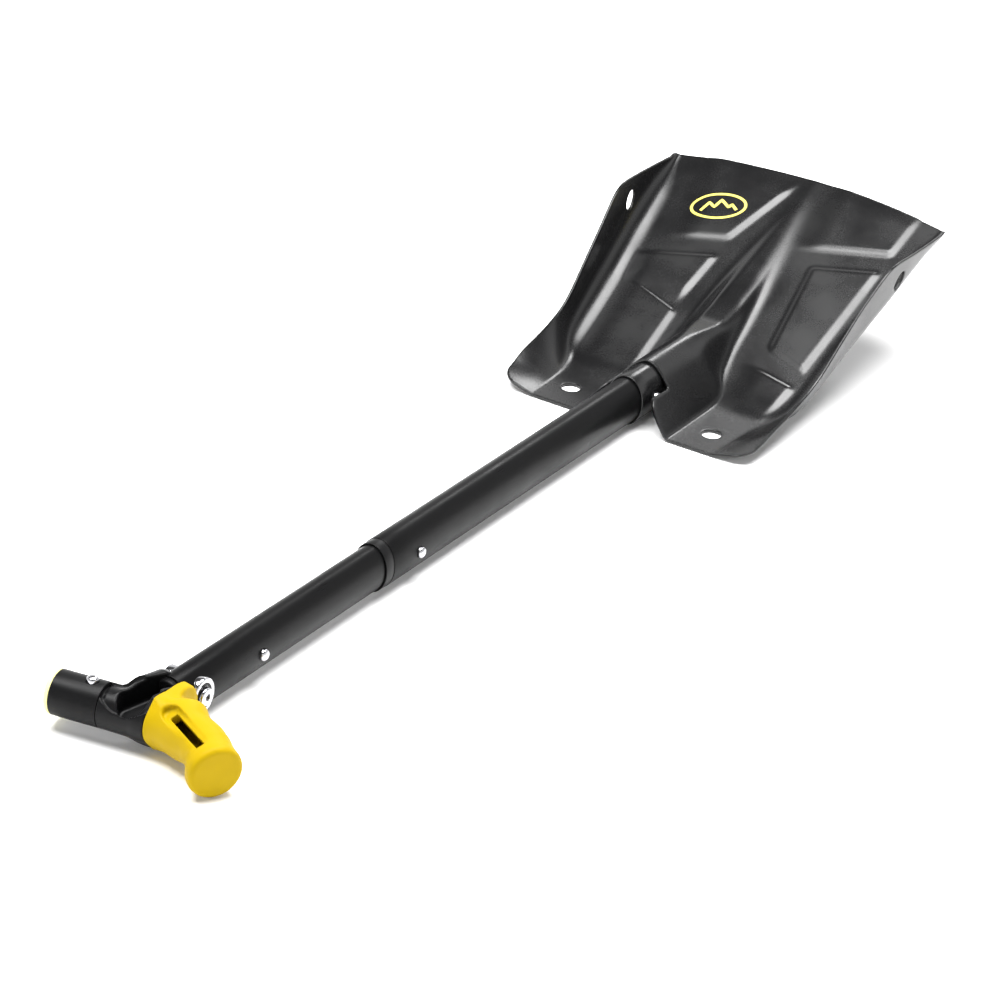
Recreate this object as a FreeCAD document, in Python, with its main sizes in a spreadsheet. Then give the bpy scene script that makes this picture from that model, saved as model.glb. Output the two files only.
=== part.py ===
import FreeCAD, Part
import math
import os

from FreeCAD import Placement, Rotation, Vector

# Avalanche shovel: a pull-off scoop blade, a two-tube telescopic shaft and a T-grip.
# Every sub-part is drawn in the shaft frame: +X across the blade, +Y from the grip to the
# blade along the shaft axis, +Z up on the scoop's open side, origin on the shaft axis at the
# socket's mouth.  One common Placement then sets the shovel down on its ears and its grip.

DEGREES_PER_RADIAN = 180.0 / math.pi

doc = FreeCAD.newDocument("avalanche_shovel")
sheet = doc.addObject("Spreadsheet::Sheet", "Sizes")

# ----------------------------------------------------------------------------------------
# Driving dimensions, in millimetres and degrees
# ----------------------------------------------------------------------------------------

DIMENSIONS = [
    # Height of the shaft axis above the ground, and the socket mouth's place ahead of the middle
    ("axis_height", 20.5),
    ("origin_shift", 163.3),
    # Oval shaft tubes: height is along Z and width along X
    ("upper_height", 36.0),
    ("upper_width", 27.0),
    ("upper_wall", 1.2),
    ("lower_wall", 1.2),
    ("slide_gap", 0.3),
    ("socket_wall", 1.2),
    ("upper_mouth", -325.0),
    ("upper_end", 75.0),
    ("lower_grip_end", -552.0),
    ("lower_inner_end", -250.0),
    ("socket_length", 128.0),
    # Plastic guides and plugs
    ("collar_length", 9.0),
    ("collar_wall", 0.9),
    ("guide_depth", 12.0),
    ("guide_flange", 3.0),
    ("plug_fit", 0.2),
    # Snap buttons
    ("button_radius", 3.9),
    ("button_stand", 3.3),
    ("button_hole_radius", 4.2),
    ("button_flange_radius", 5.2),
    ("button_flange", 1.0),
    ("leaf_length", 34.0),
    ("leaf_width", 6.0),
    ("leaf_thickness", 0.8),
    ("blade_button_y", 20.0),
    ("extend_button_y", -294.0),
    ("collapse_button_y", -471.0),
    ("grip_button_at", 35.5),
    # T-grip
    ("bar_y", -576.5),
    ("hub_radius", 16.5),
    ("hub_height", 31.0),
    ("hollow_start", 4.0),
    ("neck_width", 27.0),
    ("neck_height", 34.0),
    ("insert_depth", 44.0),
    ("arm_radius", 14.5),
    ("left_sweep_angle", 10.0),
    ("arm_seam_at", 26.0),
    ("arm_end_at", 58.5),
    ("spigot_radius", 11.4),
    ("spigot_bore", 8.6),
    ("spigot_end_at", 56.5),
    ("end_cap_disc", 2.0),
    ("end_cap_dome", 3.0),
    ("end_cap_face_radius", 11.5),
    ("sleeve_radius", 15.4),
    ("sleeve_start", 19.0),
    ("sleeve_length", 49.0),
    ("sleeve_end_wall", 4.0),
    ("core_radius", 8.5),
    ("right_sweep_angle", 17.0),
    ("right_drop_angle", 1.5),
    ("window_start", 26.0),
    ("window_length", 28.0),
    ("window_width", 8.0),
    ("window_depth", 3.0),
    # Cross bolt that holds the grip in the lower tube
    ("bolt_y", -535.0),
    ("bolt_radius", 3.0),
    ("bolt_head_radius", 6.0),
    ("bolt_head_length", 3.5),
    ("bolt_key_size", 4.0),
    ("bolt_key_depth", 2.0),
    ("washer_radius", 10.5),
    ("washer_stand", 2.0),
    ("washer_cup_radius", 7.2),
    ("washer_floor", 1.0),
    ("bolt_hole_radius", 3.2),
    ("nut_length", 3.0),
    # Blade
    ("sheet", 2.0),
    ("ear_level", -18.5),
    ("heel_y", 80.0),
    ("panel_angle", 27.0),
    ("cut_corner_y", 274.0),
    ("cut_corner_x", 113.0),
    ("cut_centre_y", 284.5),
    ("ear_edge_y", -2.0),
    ("ear_corner_radius", 16.0),
    ("ear_corner_x", 103.0),
    ("notch_x", 37.0),
    ("notch_waist_x", 20.5),
    ("notch_waist_y", 14.0),
    ("notch_corner_x", 24.5),
    ("notch_corner_y", 3.0),
    ("arch_y", 30.0),
    ("flank_share", 0.34),
    ("flank_drop", 0.40),
    ("bend_share", 0.78),
    ("bend_rise", 0.18),
    ("ear_hole_x", 60.0),
    ("ear_hole_y", 27.0),
    ("ear_hole_radius", 7.75),
    ("wall_hole_y", 198.0),
    ("wall_hole_rise", 23.5),
    ("wall_hole_radius", 7.0),
    ("weld_size", 6.0),
    ("weld_inner_x", 13.0),
    ("weld_length", 60.0),
    ("weld_start", 44.0),
]

# Blade stations, from the ears to the cutting edge.  Each row gives the place along the
# shaft, the half-width and the height of the ridge's crest, the half-width at the ridge's
# foot, the half-width where the side bend starts, and the side wall's half-width and rise.
STATION_FIELDS = ("y", "crest_x", "crest_z", "foot_x", "bend_x", "wall_x", "rise")
STATIONS = [
    ("ear_rear", -2.0, 13.0, 21.9, 39.0, 76.0, 101.0, 1.0),
    ("ear_middle", 30.0, 13.0, 21.9, 40.0, 76.0, 105.0, 10.5),
    ("heel_start", 66.0, 13.0, 21.9, 41.0, 75.0, 105.5, 21.5),
    ("heel_finish", 100.0, 13.0, 21.9, 41.0, 88.0, 106.5, 23.0),
    ("hump", 122.0, 13.0, 22.4, 38.0, 93.0, 109.0, 34.0),
    ("ridge", 142.0, 12.5, 24.0, 35.0, 96.0, 111.0, 38.0),
    ("chamfer", 182.0, 9.5, 42.0, 28.0, 101.0, 116.0, 47.0),
    ("corner", 268.5, 2.0, 78.5, 8.0, 108.0, 119.5, 2.6),
    ("front", 292.0, 2.0, 90.6, 8.0, 110.0, 120.5, 2.6),
]


def fill_sheet():
    row = 0
    cells = list(DIMENSIONS)
    for station in STATIONS:
        for field, value in zip(STATION_FIELDS, station[1:]):
            cells.append((station[0] + "_" + field, value))
    for alias, value in cells:
        row += 1
        sheet.set("A%d" % row, alias)
        sheet.set("B%d" % row, repr(value))
        sheet.setAlias("B%d" % row, alias)
    doc.recompute()


def size(alias):
    return float(sheet.get(alias))


fill_sheet()

ALONG_SHAFT = Rotation(Vector(1, 1, 1), 240)  # local Z becomes +Y, local X becomes +Z
ALONG_X = Rotation(Vector(0, 1, 0), 90)  # local Z becomes +X
UPRIGHT = Rotation()


# ----------------------------------------------------------------------------------------
# Building blocks whose sizes are bound to the sheet
# ----------------------------------------------------------------------------------------

def in_sheet(expression):
    """Put the sheet's name before every alias in an expression."""
    return " ".join("Sizes." + word if word[0].isalpha() else word for word in expression.split())


def bind(feature, **expressions):
    for name, expression in expressions.items():
        feature.setExpression(name, in_sheet(expression))


def place(feature, rotation, x="0", y="0", z="0"):
    feature.Placement = Placement(Vector(0, 0, 0), rotation)
    for axis, expression in (("x", x), ("y", y), ("z", z)):
        if expression != "0":
            feature.setExpression("Placement.Base." + axis, in_sheet(expression))


def oval_bar(name, height, width, start, length):
    """A solid bar of elliptical section along the shaft, from Y = start."""
    ring = doc.addObject("Part::Ellipse", name + "_section")
    bind(ring, MajorRadius="( " + height + " ) / 2", MinorRadius="( " + width + " ) / 2")
    bar = doc.addObject("Part::Extrusion", name)
    bar.Base = ring
    bar.DirMode = "Custom"
    bar.Dir = Vector(0, 0, 1)
    bar.Solid = True
    bind(bar, LengthFwd=length)
    place(bar, ALONG_SHAFT, y=start)
    return bar


def round_bar(name, radius, length, rotation=ALONG_X, x="0", y="0", z="0"):
    bar = doc.addObject("Part::Cylinder", name)
    bind(bar, Radius=radius, Height=length)
    place(bar, rotation, x, y, z)
    return bar


def block(name, length, width, height, x="0", y="0", z="0"):
    box = doc.addObject("Part::Box", name)
    bind(box, Length=length, Width=width, Height=height)
    place(box, UPRIGHT, x, y, z)
    return box


def cut(name, base, *tools):
    result = base
    for number, tool in enumerate(tools):
        step = doc.addObject("Part::Cut", "%s_cut%d" % (name, number + 1))
        step.Base = result
        step.Tool = tool
        result = step
    return result


def join(name, *pieces):
    union = doc.addObject("Part::MultiFuse", name + "_union")
    union.Shapes = list(pieces)
    return union


def common(name, base, tool):
    overlap = doc.addObject("Part::Common", name + "_common")
    overlap.Base = base
    overlap.Tool = tool
    return overlap


sub_parts = []


def sub_part(feature, label):
    """Name a finished sub-part and set it down in the shovel's own frame."""
    feature.Label = label + "_shape"
    holder = doc.addObject("Part::Compound", "Placed_" + label)
    holder.Links = [feature]
    holder.Label = label
    place(holder, UPRIGHT, y="origin_shift", z="axis_height")
    sub_parts.append(holder)


# ----------------------------------------------------------------------------------------
# Shaft tubes, guides and plugs
# ----------------------------------------------------------------------------------------

UPPER_BORE_HEIGHT = "upper_height - 2 * upper_wall"
UPPER_BORE_WIDTH = "upper_width - 2 * upper_wall"
LOWER_HEIGHT = UPPER_BORE_HEIGHT + " - 2 * slide_gap"
LOWER_WIDTH = UPPER_BORE_WIDTH + " - 2 * slide_gap"
LOWER_BORE_HEIGHT = LOWER_HEIGHT + " - 2 * lower_wall"
LOWER_BORE_WIDTH = LOWER_WIDTH + " - 2 * lower_wall"
SOCKET_BORE_HEIGHT = "upper_height + 2 * slide_gap"
SOCKET_BORE_WIDTH = "upper_width + 2 * slide_gap"
SOCKET_HEIGHT = SOCKET_BORE_HEIGHT + " + 2 * socket_wall"
SOCKET_WIDTH = SOCKET_BORE_WIDTH + " + 2 * socket_wall"


def button_hole(name, along, reach="upper_width"):
    """A round hole through the +X wall of a shaft tube."""
    return round_bar(name, "button_hole_radius", reach, ALONG_X, y=along)


def tube(name, height, width, bore_height, bore_width, start, length, holes):
    outside = oval_bar(name + "_outside", height, width, start, length)
    inside = oval_bar(name + "_inside", bore_height, bore_width, start, length)
    return cut(name, outside, inside, *holes)


upper_length = "upper_end - upper_mouth"
sub_part(
    tube("upper_tube", "upper_height", "upper_width", UPPER_BORE_HEIGHT, UPPER_BORE_WIDTH,
         "upper_mouth", upper_length,
         [button_hole("upper_hole_blade", "blade_button_y"),
          button_hole("upper_hole_extend", "extend_button_y")]),
    "upper_tube")

lower_length = "lower_inner_end - lower_grip_end"
sub_part(
    tube("lower_tube", LOWER_HEIGHT, LOWER_WIDTH, LOWER_BORE_HEIGHT, LOWER_BORE_WIDTH,
         "lower_grip_end", lower_length,
         [button_hole("lower_hole_extend", "extend_button_y"),
          button_hole("lower_hole_collapse", "collapse_button_y"),
          round_bar("lower_hole_bolt", "bolt_hole_radius", "2 * upper_width", ALONG_X,
                    x="0 - upper_width", y="bolt_y")]),
    "lower_tube")

sub_part(
    tube("socket_tube", SOCKET_HEIGHT, SOCKET_WIDTH, SOCKET_BORE_HEIGHT, SOCKET_BORE_WIDTH,
         "0", "socket_length",
         [button_hole("socket_hole_blade", "blade_button_y")]),
    "socket_tube")

# Ring of black plastic on the upper tube's mouth, which wipes and guides the lower tube
sub_part(
    cut("mouth_collar",
        oval_bar("collar_outside", UPPER_BORE_HEIGHT + " + 2 * collar_wall",
                 UPPER_BORE_WIDTH + " + 2 * collar_wall",
                 "upper_mouth - collar_length", "collar_length"),
        oval_bar("collar_inside", UPPER_BORE_HEIGHT, UPPER_BORE_WIDTH,
                 "upper_mouth - collar_length", "collar_length")),
    "mouth_collar")

# Plug with a flange in the lower tube's inner end
sub_part(
    join("lower_guide",
         oval_bar("lower_guide_plug", LOWER_BORE_HEIGHT + " - plug_fit",
                  LOWER_BORE_WIDTH + " - plug_fit",
                  "lower_inner_end - guide_depth", "guide_depth"),
         oval_bar("lower_guide_flange", LOWER_HEIGHT, LOWER_WIDTH,
                  "lower_inner_end", "guide_flange")),
    "lower_tube_guide")

# Plug with a flange in the upper tube's blade end
sub_part(
    join("upper_plug",
         oval_bar("upper_plug_body", UPPER_BORE_HEIGHT + " - plug_fit",
                  UPPER_BORE_WIDTH + " - plug_fit",
                  "upper_end - guide_depth", "guide_depth"),
         oval_bar("upper_plug_flange", "upper_height - plug_fit", "upper_width - plug_fit",
                  "upper_end", "guide_flange")),
    "upper_tube_plug")


# ----------------------------------------------------------------------------------------
# Snap buttons: a domed head, a flange and a spring leaf in one piece
# ----------------------------------------------------------------------------------------

def snap_button(label, outer_surface, inner_surface, leaf_sign):
    """A button along local +X: the dome stands proud of outer_surface."""
    head_length = outer_surface + " + button_stand - button_radius * 0.6 - ( " + inner_surface + " )"
    stem = round_bar(label + "_stem", "button_radius", head_length, ALONG_X, x=inner_surface)
    dome = doc.addObject("Part::Ellipsoid", label + "_dome")
    bind(dome, Radius1="button_radius * 0.6", Radius2="button_radius", Radius3="button_radius")
    place(dome, ALONG_X, x=outer_surface + " + button_stand - button_radius * 0.6")
    flange = round_bar(label + "_flange", "button_flange_radius", "button_flange", ALONG_X,
                       x=inner_surface + " - button_flange")
    leaf_start = "0 - leaf_width / 2" if leaf_sign > 0 else "leaf_width / 2 - leaf_length"
    leaf = block(label + "_leaf", "leaf_thickness", "leaf_length", "leaf_width",
                 x=inner_surface + " - button_flange - leaf_thickness", y=leaf_start,
                 z="0 - leaf_width / 2")
    fold_y = "leaf_length - leaf_width / 2" if leaf_sign > 0 else "leaf_width / 2 - leaf_length"
    fold_y = fold_y + (" - leaf_thickness" if leaf_sign > 0 else "")
    fold = block(label + "_fold", "leaf_width", "leaf_thickness", "leaf_width",
                 x=inner_surface + " - button_flange - leaf_width", y=fold_y,
                 z="0 - leaf_width / 2")
    return join(label, stem, dome, flange, leaf, fold)


def shaft_button(label, along, outer_surface, inner_surface, leaf_sign):
    button = snap_button(label, outer_surface, inner_surface, leaf_sign)
    place(button, UPRIGHT, y=along)
    sub_part(button, label)


TUBE_SIDE = "( " + LOWER_WIDTH + " ) / 2"
INSIDE_LOWER_TUBE = "( " + LOWER_BORE_WIDTH + " ) / 2 - 1"
INSIDE_UPPER_TUBE = "( " + UPPER_BORE_WIDTH + " ) / 2 - 1"

shaft_button("snap_button_extend", "extend_button_y", "upper_width / 2", INSIDE_LOWER_TUBE, -1)
shaft_button("snap_button_collapse", "collapse_button_y", TUBE_SIDE, INSIDE_LOWER_TUBE, 1)
shaft_button("snap_button_blade", "blade_button_y", "( " + SOCKET_WIDTH + " ) / 2",
             INSIDE_UPPER_TUBE, 1)


# ----------------------------------------------------------------------------------------
# T-grip
# ----------------------------------------------------------------------------------------

def arm_direction(sweep_angle, drop_angle, side):
    """Turn local Z onto an arm of the grip: out to one side, swept back and dropped."""
    turn = Rotation(Vector(0, 0, 1), -side * size(sweep_angle))
    lean = Rotation(Vector(0, 1, 0), side * (90 + (size(drop_angle) if drop_angle else 0.0)))
    return turn.multiply(lean)


LEFT_ARM = arm_direction("left_sweep_angle", None, -1)
RIGHT_ARM = arm_direction("right_sweep_angle", "right_drop_angle", 1)


def on_arm(direction, distance):
    """A point on an arm's axis, at a distance from the hub's centre."""
    return Vector(0, size("bar_y"), 0) + direction.multVec(Vector(0, 0, distance))


def arm_bar(name, direction, radius, start, length):
    bar = doc.addObject("Part::Cylinder", name)
    bind(bar, Radius=radius, Height=length)
    bar.Placement = Placement(on_arm(direction, start), direction)
    return bar


hub = round_bar("grip_hub", "hub_radius", "hub_height", UPRIGHT, y="bar_y",
                z="0 - hub_height / 2")
SEAM = size("arm_seam_at")
SLEEVE_START = size("sleeve_start")

# Frame of the grip's button: local X points up, local Y runs back in along the left arm
GRIP_BUTTON = Placement(on_arm(LEFT_ARM, size("grip_button_at")),
                        Rotation(Vector(0, 0, 1), size("left_sweep_angle")).multiply(ALONG_SHAFT))


def grip_button_hole(name):
    hole = doc.addObject("Part::Cylinder", name)
    bind(hole, Radius="button_hole_radius", Height="hub_radius")
    hole.Placement = Placement(GRIP_BUTTON.Base, UPRIGHT)
    return hole


core_length = "sleeve_start + sleeve_length - sleeve_end_wall"
grip_core = join(
    "grip_core",
    hub,
    oval_bar("grip_neck", "neck_height", "neck_width", "bar_y", "lower_grip_end - bar_y"),
    oval_bar("grip_insert", LOWER_BORE_HEIGHT + " - plug_fit", LOWER_BORE_WIDTH + " - plug_fit",
             "lower_grip_end", "insert_depth"),
    arm_bar("grip_left_arm", LEFT_ARM, "arm_radius", 0, "arm_seam_at"),
    arm_bar("grip_spigot", LEFT_ARM, "spigot_radius", SEAM, "spigot_end_at - arm_seam_at"),
    arm_bar("grip_right_core", RIGHT_ARM, "core_radius", 0, core_length))
sub_part(
    cut("grip_body", grip_core,
        arm_bar("spigot_hollow", LEFT_ARM, "spigot_bore", size("hollow_start"), "spigot_end_at"),
        grip_button_hole("spigot_button_hole"),
        round_bar("grip_bolt_hole", "bolt_hole_radius", "2 * upper_width", ALONG_X,
                  x="0 - upper_width", y="bolt_y")),
    "grip_body")

# Yellow moulding over the right arm, with a shallow window in its top
window = block("grip_window", "window_length", "window_width", "sleeve_radius")
window_turn = Rotation(Vector(0, 0, 1), -size("right_sweep_angle"))
window.Placement = Placement(
    on_arm(RIGHT_ARM, size("window_start")) + window_turn.multVec(
        Vector(0, -size("window_width") / 2, size("sleeve_radius") - size("window_depth"))),
    window_turn)
sub_part(
    cut("yellow_grip",
        arm_bar("yellow_outside", RIGHT_ARM, "sleeve_radius", SLEEVE_START, "sleeve_length"),
        arm_bar("yellow_bore", RIGHT_ARM, "core_radius", SLEEVE_START,
                "sleeve_length - sleeve_end_wall"),
        window),
    "yellow_grip")

# Removable end of the left arm: a black sleeve on the spigot and its yellow cap
sub_part(
    cut("left_sleeve",
        arm_bar("left_sleeve_outside", LEFT_ARM, "arm_radius", SEAM, "arm_end_at - arm_seam_at"),
        arm_bar("left_sleeve_bore", LEFT_ARM, "spigot_radius + slide_gap", SEAM,
                "arm_end_at - arm_seam_at"),
        grip_button_hole("left_sleeve_hole")),
    "left_grip_sleeve")

cap_crown = doc.addObject("Part::Cone", "left_cap_crown")
bind(cap_crown, Radius1="arm_radius", Radius2="end_cap_face_radius", Height="end_cap_dome")
cap_crown.Placement = Placement(
    on_arm(LEFT_ARM, size("arm_end_at") + size("end_cap_disc")), LEFT_ARM)
sub_part(
    join("left_end_cap",
         arm_bar("left_cap_disc", LEFT_ARM, "arm_radius", size("arm_end_at"), "end_cap_disc"),
         cap_crown),
    "left_end_cap")

# The grip's button is the same piece, turned so that it points up and its leaf lies in the bar
grip_button = snap_button("snap_button_grip", "arm_radius", "spigot_bore - 2", 1)
grip_button.Placement = GRIP_BUTTON
sub_part(grip_button, "snap_button_grip")


# ----------------------------------------------------------------------------------------
# Cross bolt
# ----------------------------------------------------------------------------------------

def saddle_washer(name, side):
    """A cupped washer whose back follows the tube's oval."""
    start = "0" if side > 0 else "0 - ( " + TUBE_SIDE + " + washer_stand )"
    outside = round_bar(name + "_outside", "washer_radius", TUBE_SIDE + " + washer_stand",
                        x=start, y="bolt_y")
    saddle = oval_bar(name + "_saddle", LOWER_HEIGHT, LOWER_WIDTH,
                      "bolt_y - 2 * washer_radius", "4 * washer_radius")
    cup_start = TUBE_SIDE + " + washer_floor"
    if side < 0:
        cup_start = "0 - ( " + TUBE_SIDE + " + washer_floor + washer_radius )"
    cup = round_bar(name + "_cup", "washer_cup_radius", "washer_radius", x=cup_start, y="bolt_y")
    hole = round_bar(name + "_hole", "bolt_hole_radius", "4 * upper_width",
                     x="0 - 2 * upper_width", y="bolt_y")
    return cut(name, outside, saddle, cup, hole)


sub_part(join("saddle_washers", saddle_washer("washer_right", 1), saddle_washer("washer_left", -1)),
         "saddle_washers")

HEAD_SEAT = TUBE_SIDE + " + washer_floor"
bolt_shank = round_bar("bolt_shank", "bolt_radius", "2 * ( " + HEAD_SEAT + " ) + nut_length * 0.6",
                       x="0 - ( " + HEAD_SEAT + " ) - nut_length * 0.6", y="bolt_y")
bolt_head = round_bar("bolt_head", "bolt_head_radius", "bolt_head_length",
                      x=HEAD_SEAT, y="bolt_y")
bolt_key = doc.addObject("Part::Prism", "bolt_key")
bolt_key.Polygon = 6
bind(bolt_key, Circumradius="bolt_key_size / 1.732", Height="bolt_key_depth")
place(bolt_key, ALONG_X, x=HEAD_SEAT + " + bolt_head_length - bolt_key_depth", y="bolt_y")
sub_part(cut("grip_bolt", join("grip_bolt", bolt_shank, bolt_head), bolt_key), "grip_bolt")

nut_body = round_bar("nut_body", "bolt_head_radius", "nut_length",
                     x="0 - ( " + HEAD_SEAT + " + nut_length )", y="bolt_y")
nut_bore = round_bar("nut_bore", "bolt_radius", "nut_length",
                     x="0 - ( " + HEAD_SEAT + " + nut_length )", y="bolt_y")
sub_part(cut("grip_nut", nut_body, nut_bore), "grip_nut")


# ----------------------------------------------------------------------------------------
# Blade: one formed sheet
# ----------------------------------------------------------------------------------------

def floor_height(y):
    """Top of the blade's floor: flat under the ears, then the sloping panel."""
    slope = math.tan(size("panel_angle") / DEGREES_PER_RADIAN)
    return size("ear_level") + max(0.0, y - size("heel_y")) * slope


def half_section(station):
    """The sheet's upper side at a station, from the ridge's crest out to the wall's top."""
    y, crest_x, crest_z, foot_x, bend_x, wall_x, rise = [
        size(station + "_" + field) for field in STATION_FIELDS]
    floor = floor_height(y)
    flank_x = crest_x + size("flank_share") * (foot_x - crest_x)
    flank_z = crest_z - size("flank_drop") * (crest_z - floor)
    corner_x = bend_x + size("bend_share") * (wall_x - bend_x)
    return [
        (crest_x, crest_z),
        (flank_x, flank_z),
        (foot_x, floor),
        (bend_x, floor),
        (corner_x, floor + size("bend_rise") * rise),
        (wall_x, floor + rise),
    ]


def offset_outline(points, distance):
    """Move an open outline to its right-hand side by a distance, with mitred corners."""
    normals = []
    for (x1, z1), (x2, z2) in zip(points, points[1:]):
        length = math.hypot(x2 - x1, z2 - z1)
        normals.append(((z2 - z1) / length, (x1 - x2) / length))
    moved = []
    for index, (x, z) in enumerate(points):
        before = normals[max(index - 1, 0)]
        after = normals[min(index, len(normals) - 1)]
        blend = 1.0 + before[0] * after[0] + before[1] * after[1]
        moved.append((x + distance * (before[0] + after[0]) / blend,
                      z + distance * (before[1] + after[1]) / blend))
    return moved


def sheet_section(station):
    """A closed outline of the sheet's full thickness at a station."""
    right = half_section(station)
    left = [(-x, z) for x, z in reversed(right)]
    upper = left + right
    lower = offset_outline(upper, size("sheet"))
    y = size(station + "_y")
    corners = [Vector(x, y, z) for x, z in upper + lower[::-1]]
    return Part.makePolygon(corners + corners[:1])


PLANFORM_BOTTOM = -60.0
PLANFORM_HEIGHT = 220.0
BEYOND_WALLS = 128.0    # clear of the side walls
WALL_START_Y = 60.0     # where the outline has run clear of the walls
EDGE_CORNER_SETBACK = 3.0


def planform():
    """The blade's outline from above, as a tall prism: rounded ears, notch and curved edge."""
    edge_y = size("ear_edge_y")
    radius = size("ear_corner_radius")
    corner_x = size("ear_corner_x")
    notch_x = size("notch_x")
    waist_x = size("notch_waist_x")
    waist_y = size("notch_waist_y")
    round_x = size("notch_corner_x")
    round_y = size("notch_corner_y")
    arch_y = size("arch_y")
    cut_x = size("cut_corner_x")
    cut_y = size("cut_corner_y")
    diagonal = radius * (1 - math.sqrt(0.5))

    def at(x, y):
        return Vector(x, y, PLANFORM_BOTTOM)

    def half(side):
        return [
            Part.Arc(at(side * notch_x, edge_y), at(side * round_x, round_y),
                     at(side * waist_x, waist_y)).toShape(),
            Part.makeLine(at(side * waist_x, waist_y), at(side * waist_x, arch_y)),
            Part.makeLine(at(side * notch_x, edge_y), at(side * (corner_x - radius), edge_y)),
            Part.Arc(at(side * (corner_x - radius), edge_y),
                     at(side * (corner_x - diagonal), edge_y + diagonal),
                     at(side * corner_x, edge_y + radius)).toShape(),
            Part.makeLine(at(side * corner_x, edge_y + radius),
                          at(side * BEYOND_WALLS, WALL_START_Y)),
            Part.makeLine(at(side * BEYOND_WALLS, WALL_START_Y),
                          at(side * BEYOND_WALLS, cut_y - EDGE_CORNER_SETBACK)),
            Part.makeLine(at(side * BEYOND_WALLS, cut_y - EDGE_CORNER_SETBACK),
                          at(side * cut_x, cut_y)),
        ]

    edges = half(1) + half(-1)
    edges.append(Part.makeLine(at(-waist_x, arch_y), at(waist_x, arch_y)))
    edges.append(Part.Arc(at(-cut_x, cut_y), at(0, size("cut_centre_y")),
                          at(cut_x, cut_y)).toShape())
    outline = Part.Wire(Part.__sortEdges__(edges))
    return Part.Face(outline).extrude(Vector(0, 0, PLANFORM_HEIGHT))


blade_sheet = doc.addObject("Part::Feature", "blade_sheet")
blade_sheet.Shape = Part.makeLoft([sheet_section(row[0]) for row in STATIONS], True, True)
blade_planform = doc.addObject("Part::Feature", "blade_planform")
blade_planform.Shape = planform()


def wall_hole(name, side):
    """A hole punched square through a side wall, between the two stations that span it."""
    before, after = "chamfer", "corner"
    y = size("wall_hole_y")
    share = (y - size(before + "_y")) / (size(after + "_y") - size(before + "_y"))

    def wall_point(corner, part_way):
        ends = [Vector(half_section(name)[corner][0], size(name + "_y"),
                       half_section(name)[corner][1]) for name in (before, after)]
        return ends[0] + (ends[1] - ends[0]) * part_way

    low, high = wall_point(4, share), wall_point(5, share)
    outward = (high - low).cross(wall_point(5, 1.0) - wall_point(5, 0.0)).normalize()
    if outward.x < 0:
        outward = -outward
    rise = (floor_height(y) + size("wall_hole_rise") - low.z) / (high.z - low.z)
    centre = low + (high - low) * rise + outward * (size("sheet") / 2)
    centre.x, outward.x = side * centre.x, side * outward.x
    print("%s centre %s outward %s" % (name, centre, outward))
    hole = doc.addObject("Part::Cylinder", name)
    bind(hole, Radius="wall_hole_radius", Height="10 * sheet")
    hole.Placement = Placement(centre - outward * (5 * size("sheet")),
                               Rotation(Vector(0, 0, 1), outward))
    return hole


ear_holes = [
    round_bar("ear_hole_right", "ear_hole_radius", "10 * sheet", UPRIGHT,
              "ear_hole_x", "ear_hole_y", "ear_level - 5 * sheet"),
    round_bar("ear_hole_left", "ear_hole_radius", "10 * sheet", UPRIGHT,
              "0 - ear_hole_x", "ear_hole_y", "ear_level - 5 * sheet"),
]
wall_holes = [wall_hole("wall_hole_right", 1), wall_hole("wall_hole_left", -1)]
blade = cut("blade", common("blade", blade_sheet, blade_planform), *(ear_holes + wall_holes))
sub_part(blade, "blade")

# Weld beads in the corners between the socket tube and the ridge's inner sides
weld_blank = join(
    "weld_blank",
    block("weld_right_block", "weld_size", "weld_length", "weld_size",
          x="weld_inner_x", y="weld_start"),
    block("weld_left_block", "weld_size", "weld_length", "weld_size",
          x="0 - weld_inner_x - weld_size", y="weld_start"))
weld_clear = oval_bar("weld_socket", SOCKET_HEIGHT, SOCKET_WIDTH, "0", "socket_length")
sub_part(cut("weld_beads", weld_blank, weld_clear, blade_sheet), "weld_beads")


# ----------------------------------------------------------------------------------------
# Checks, then one file for each sub-part
# ----------------------------------------------------------------------------------------

doc.recompute()
for feature in doc.Objects:
    if "Invalid" in feature.State or "Error" in feature.State:
        raise RuntimeError("%s did not compute: %s" % (feature.Name, feature.State))

os.makedirs("parts", exist_ok=True)
total = None
for holder in sub_parts:
    shape = holder.Shape
    if shape.isNull() or not shape.isValid() or not shape.Solids:
        raise RuntimeError("%s has no valid solid" % holder.Label)
    shape.exportStep("parts/%s.step" % holder.Label)
    box = shape.optimalBoundingBox(False)
    total = FreeCAD.BoundBox(box) if total is None else total.united(box)
    print("%-24s %d solid(s) %10.0f mm3  X %7.1f..%7.1f  Y %7.1f..%7.1f  Z %6.1f..%6.1f" % (
        holder.Label, len(shape.Solids), shape.Volume, box.XMin, box.XMax, box.YMin, box.YMax,
        box.ZMin, box.ZMax))
print("whole shovel X %.2f..%.2f Y %.2f..%.2f Z %.2f..%.2f" % (
    total.XMin, total.XMax, total.YMin, total.YMax, total.ZMin, total.ZMax))
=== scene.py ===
import itertools
import math

import bmesh
import bpy
import numpy as np
from mathutils import Matrix, Quaternion, Vector, geometry


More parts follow.
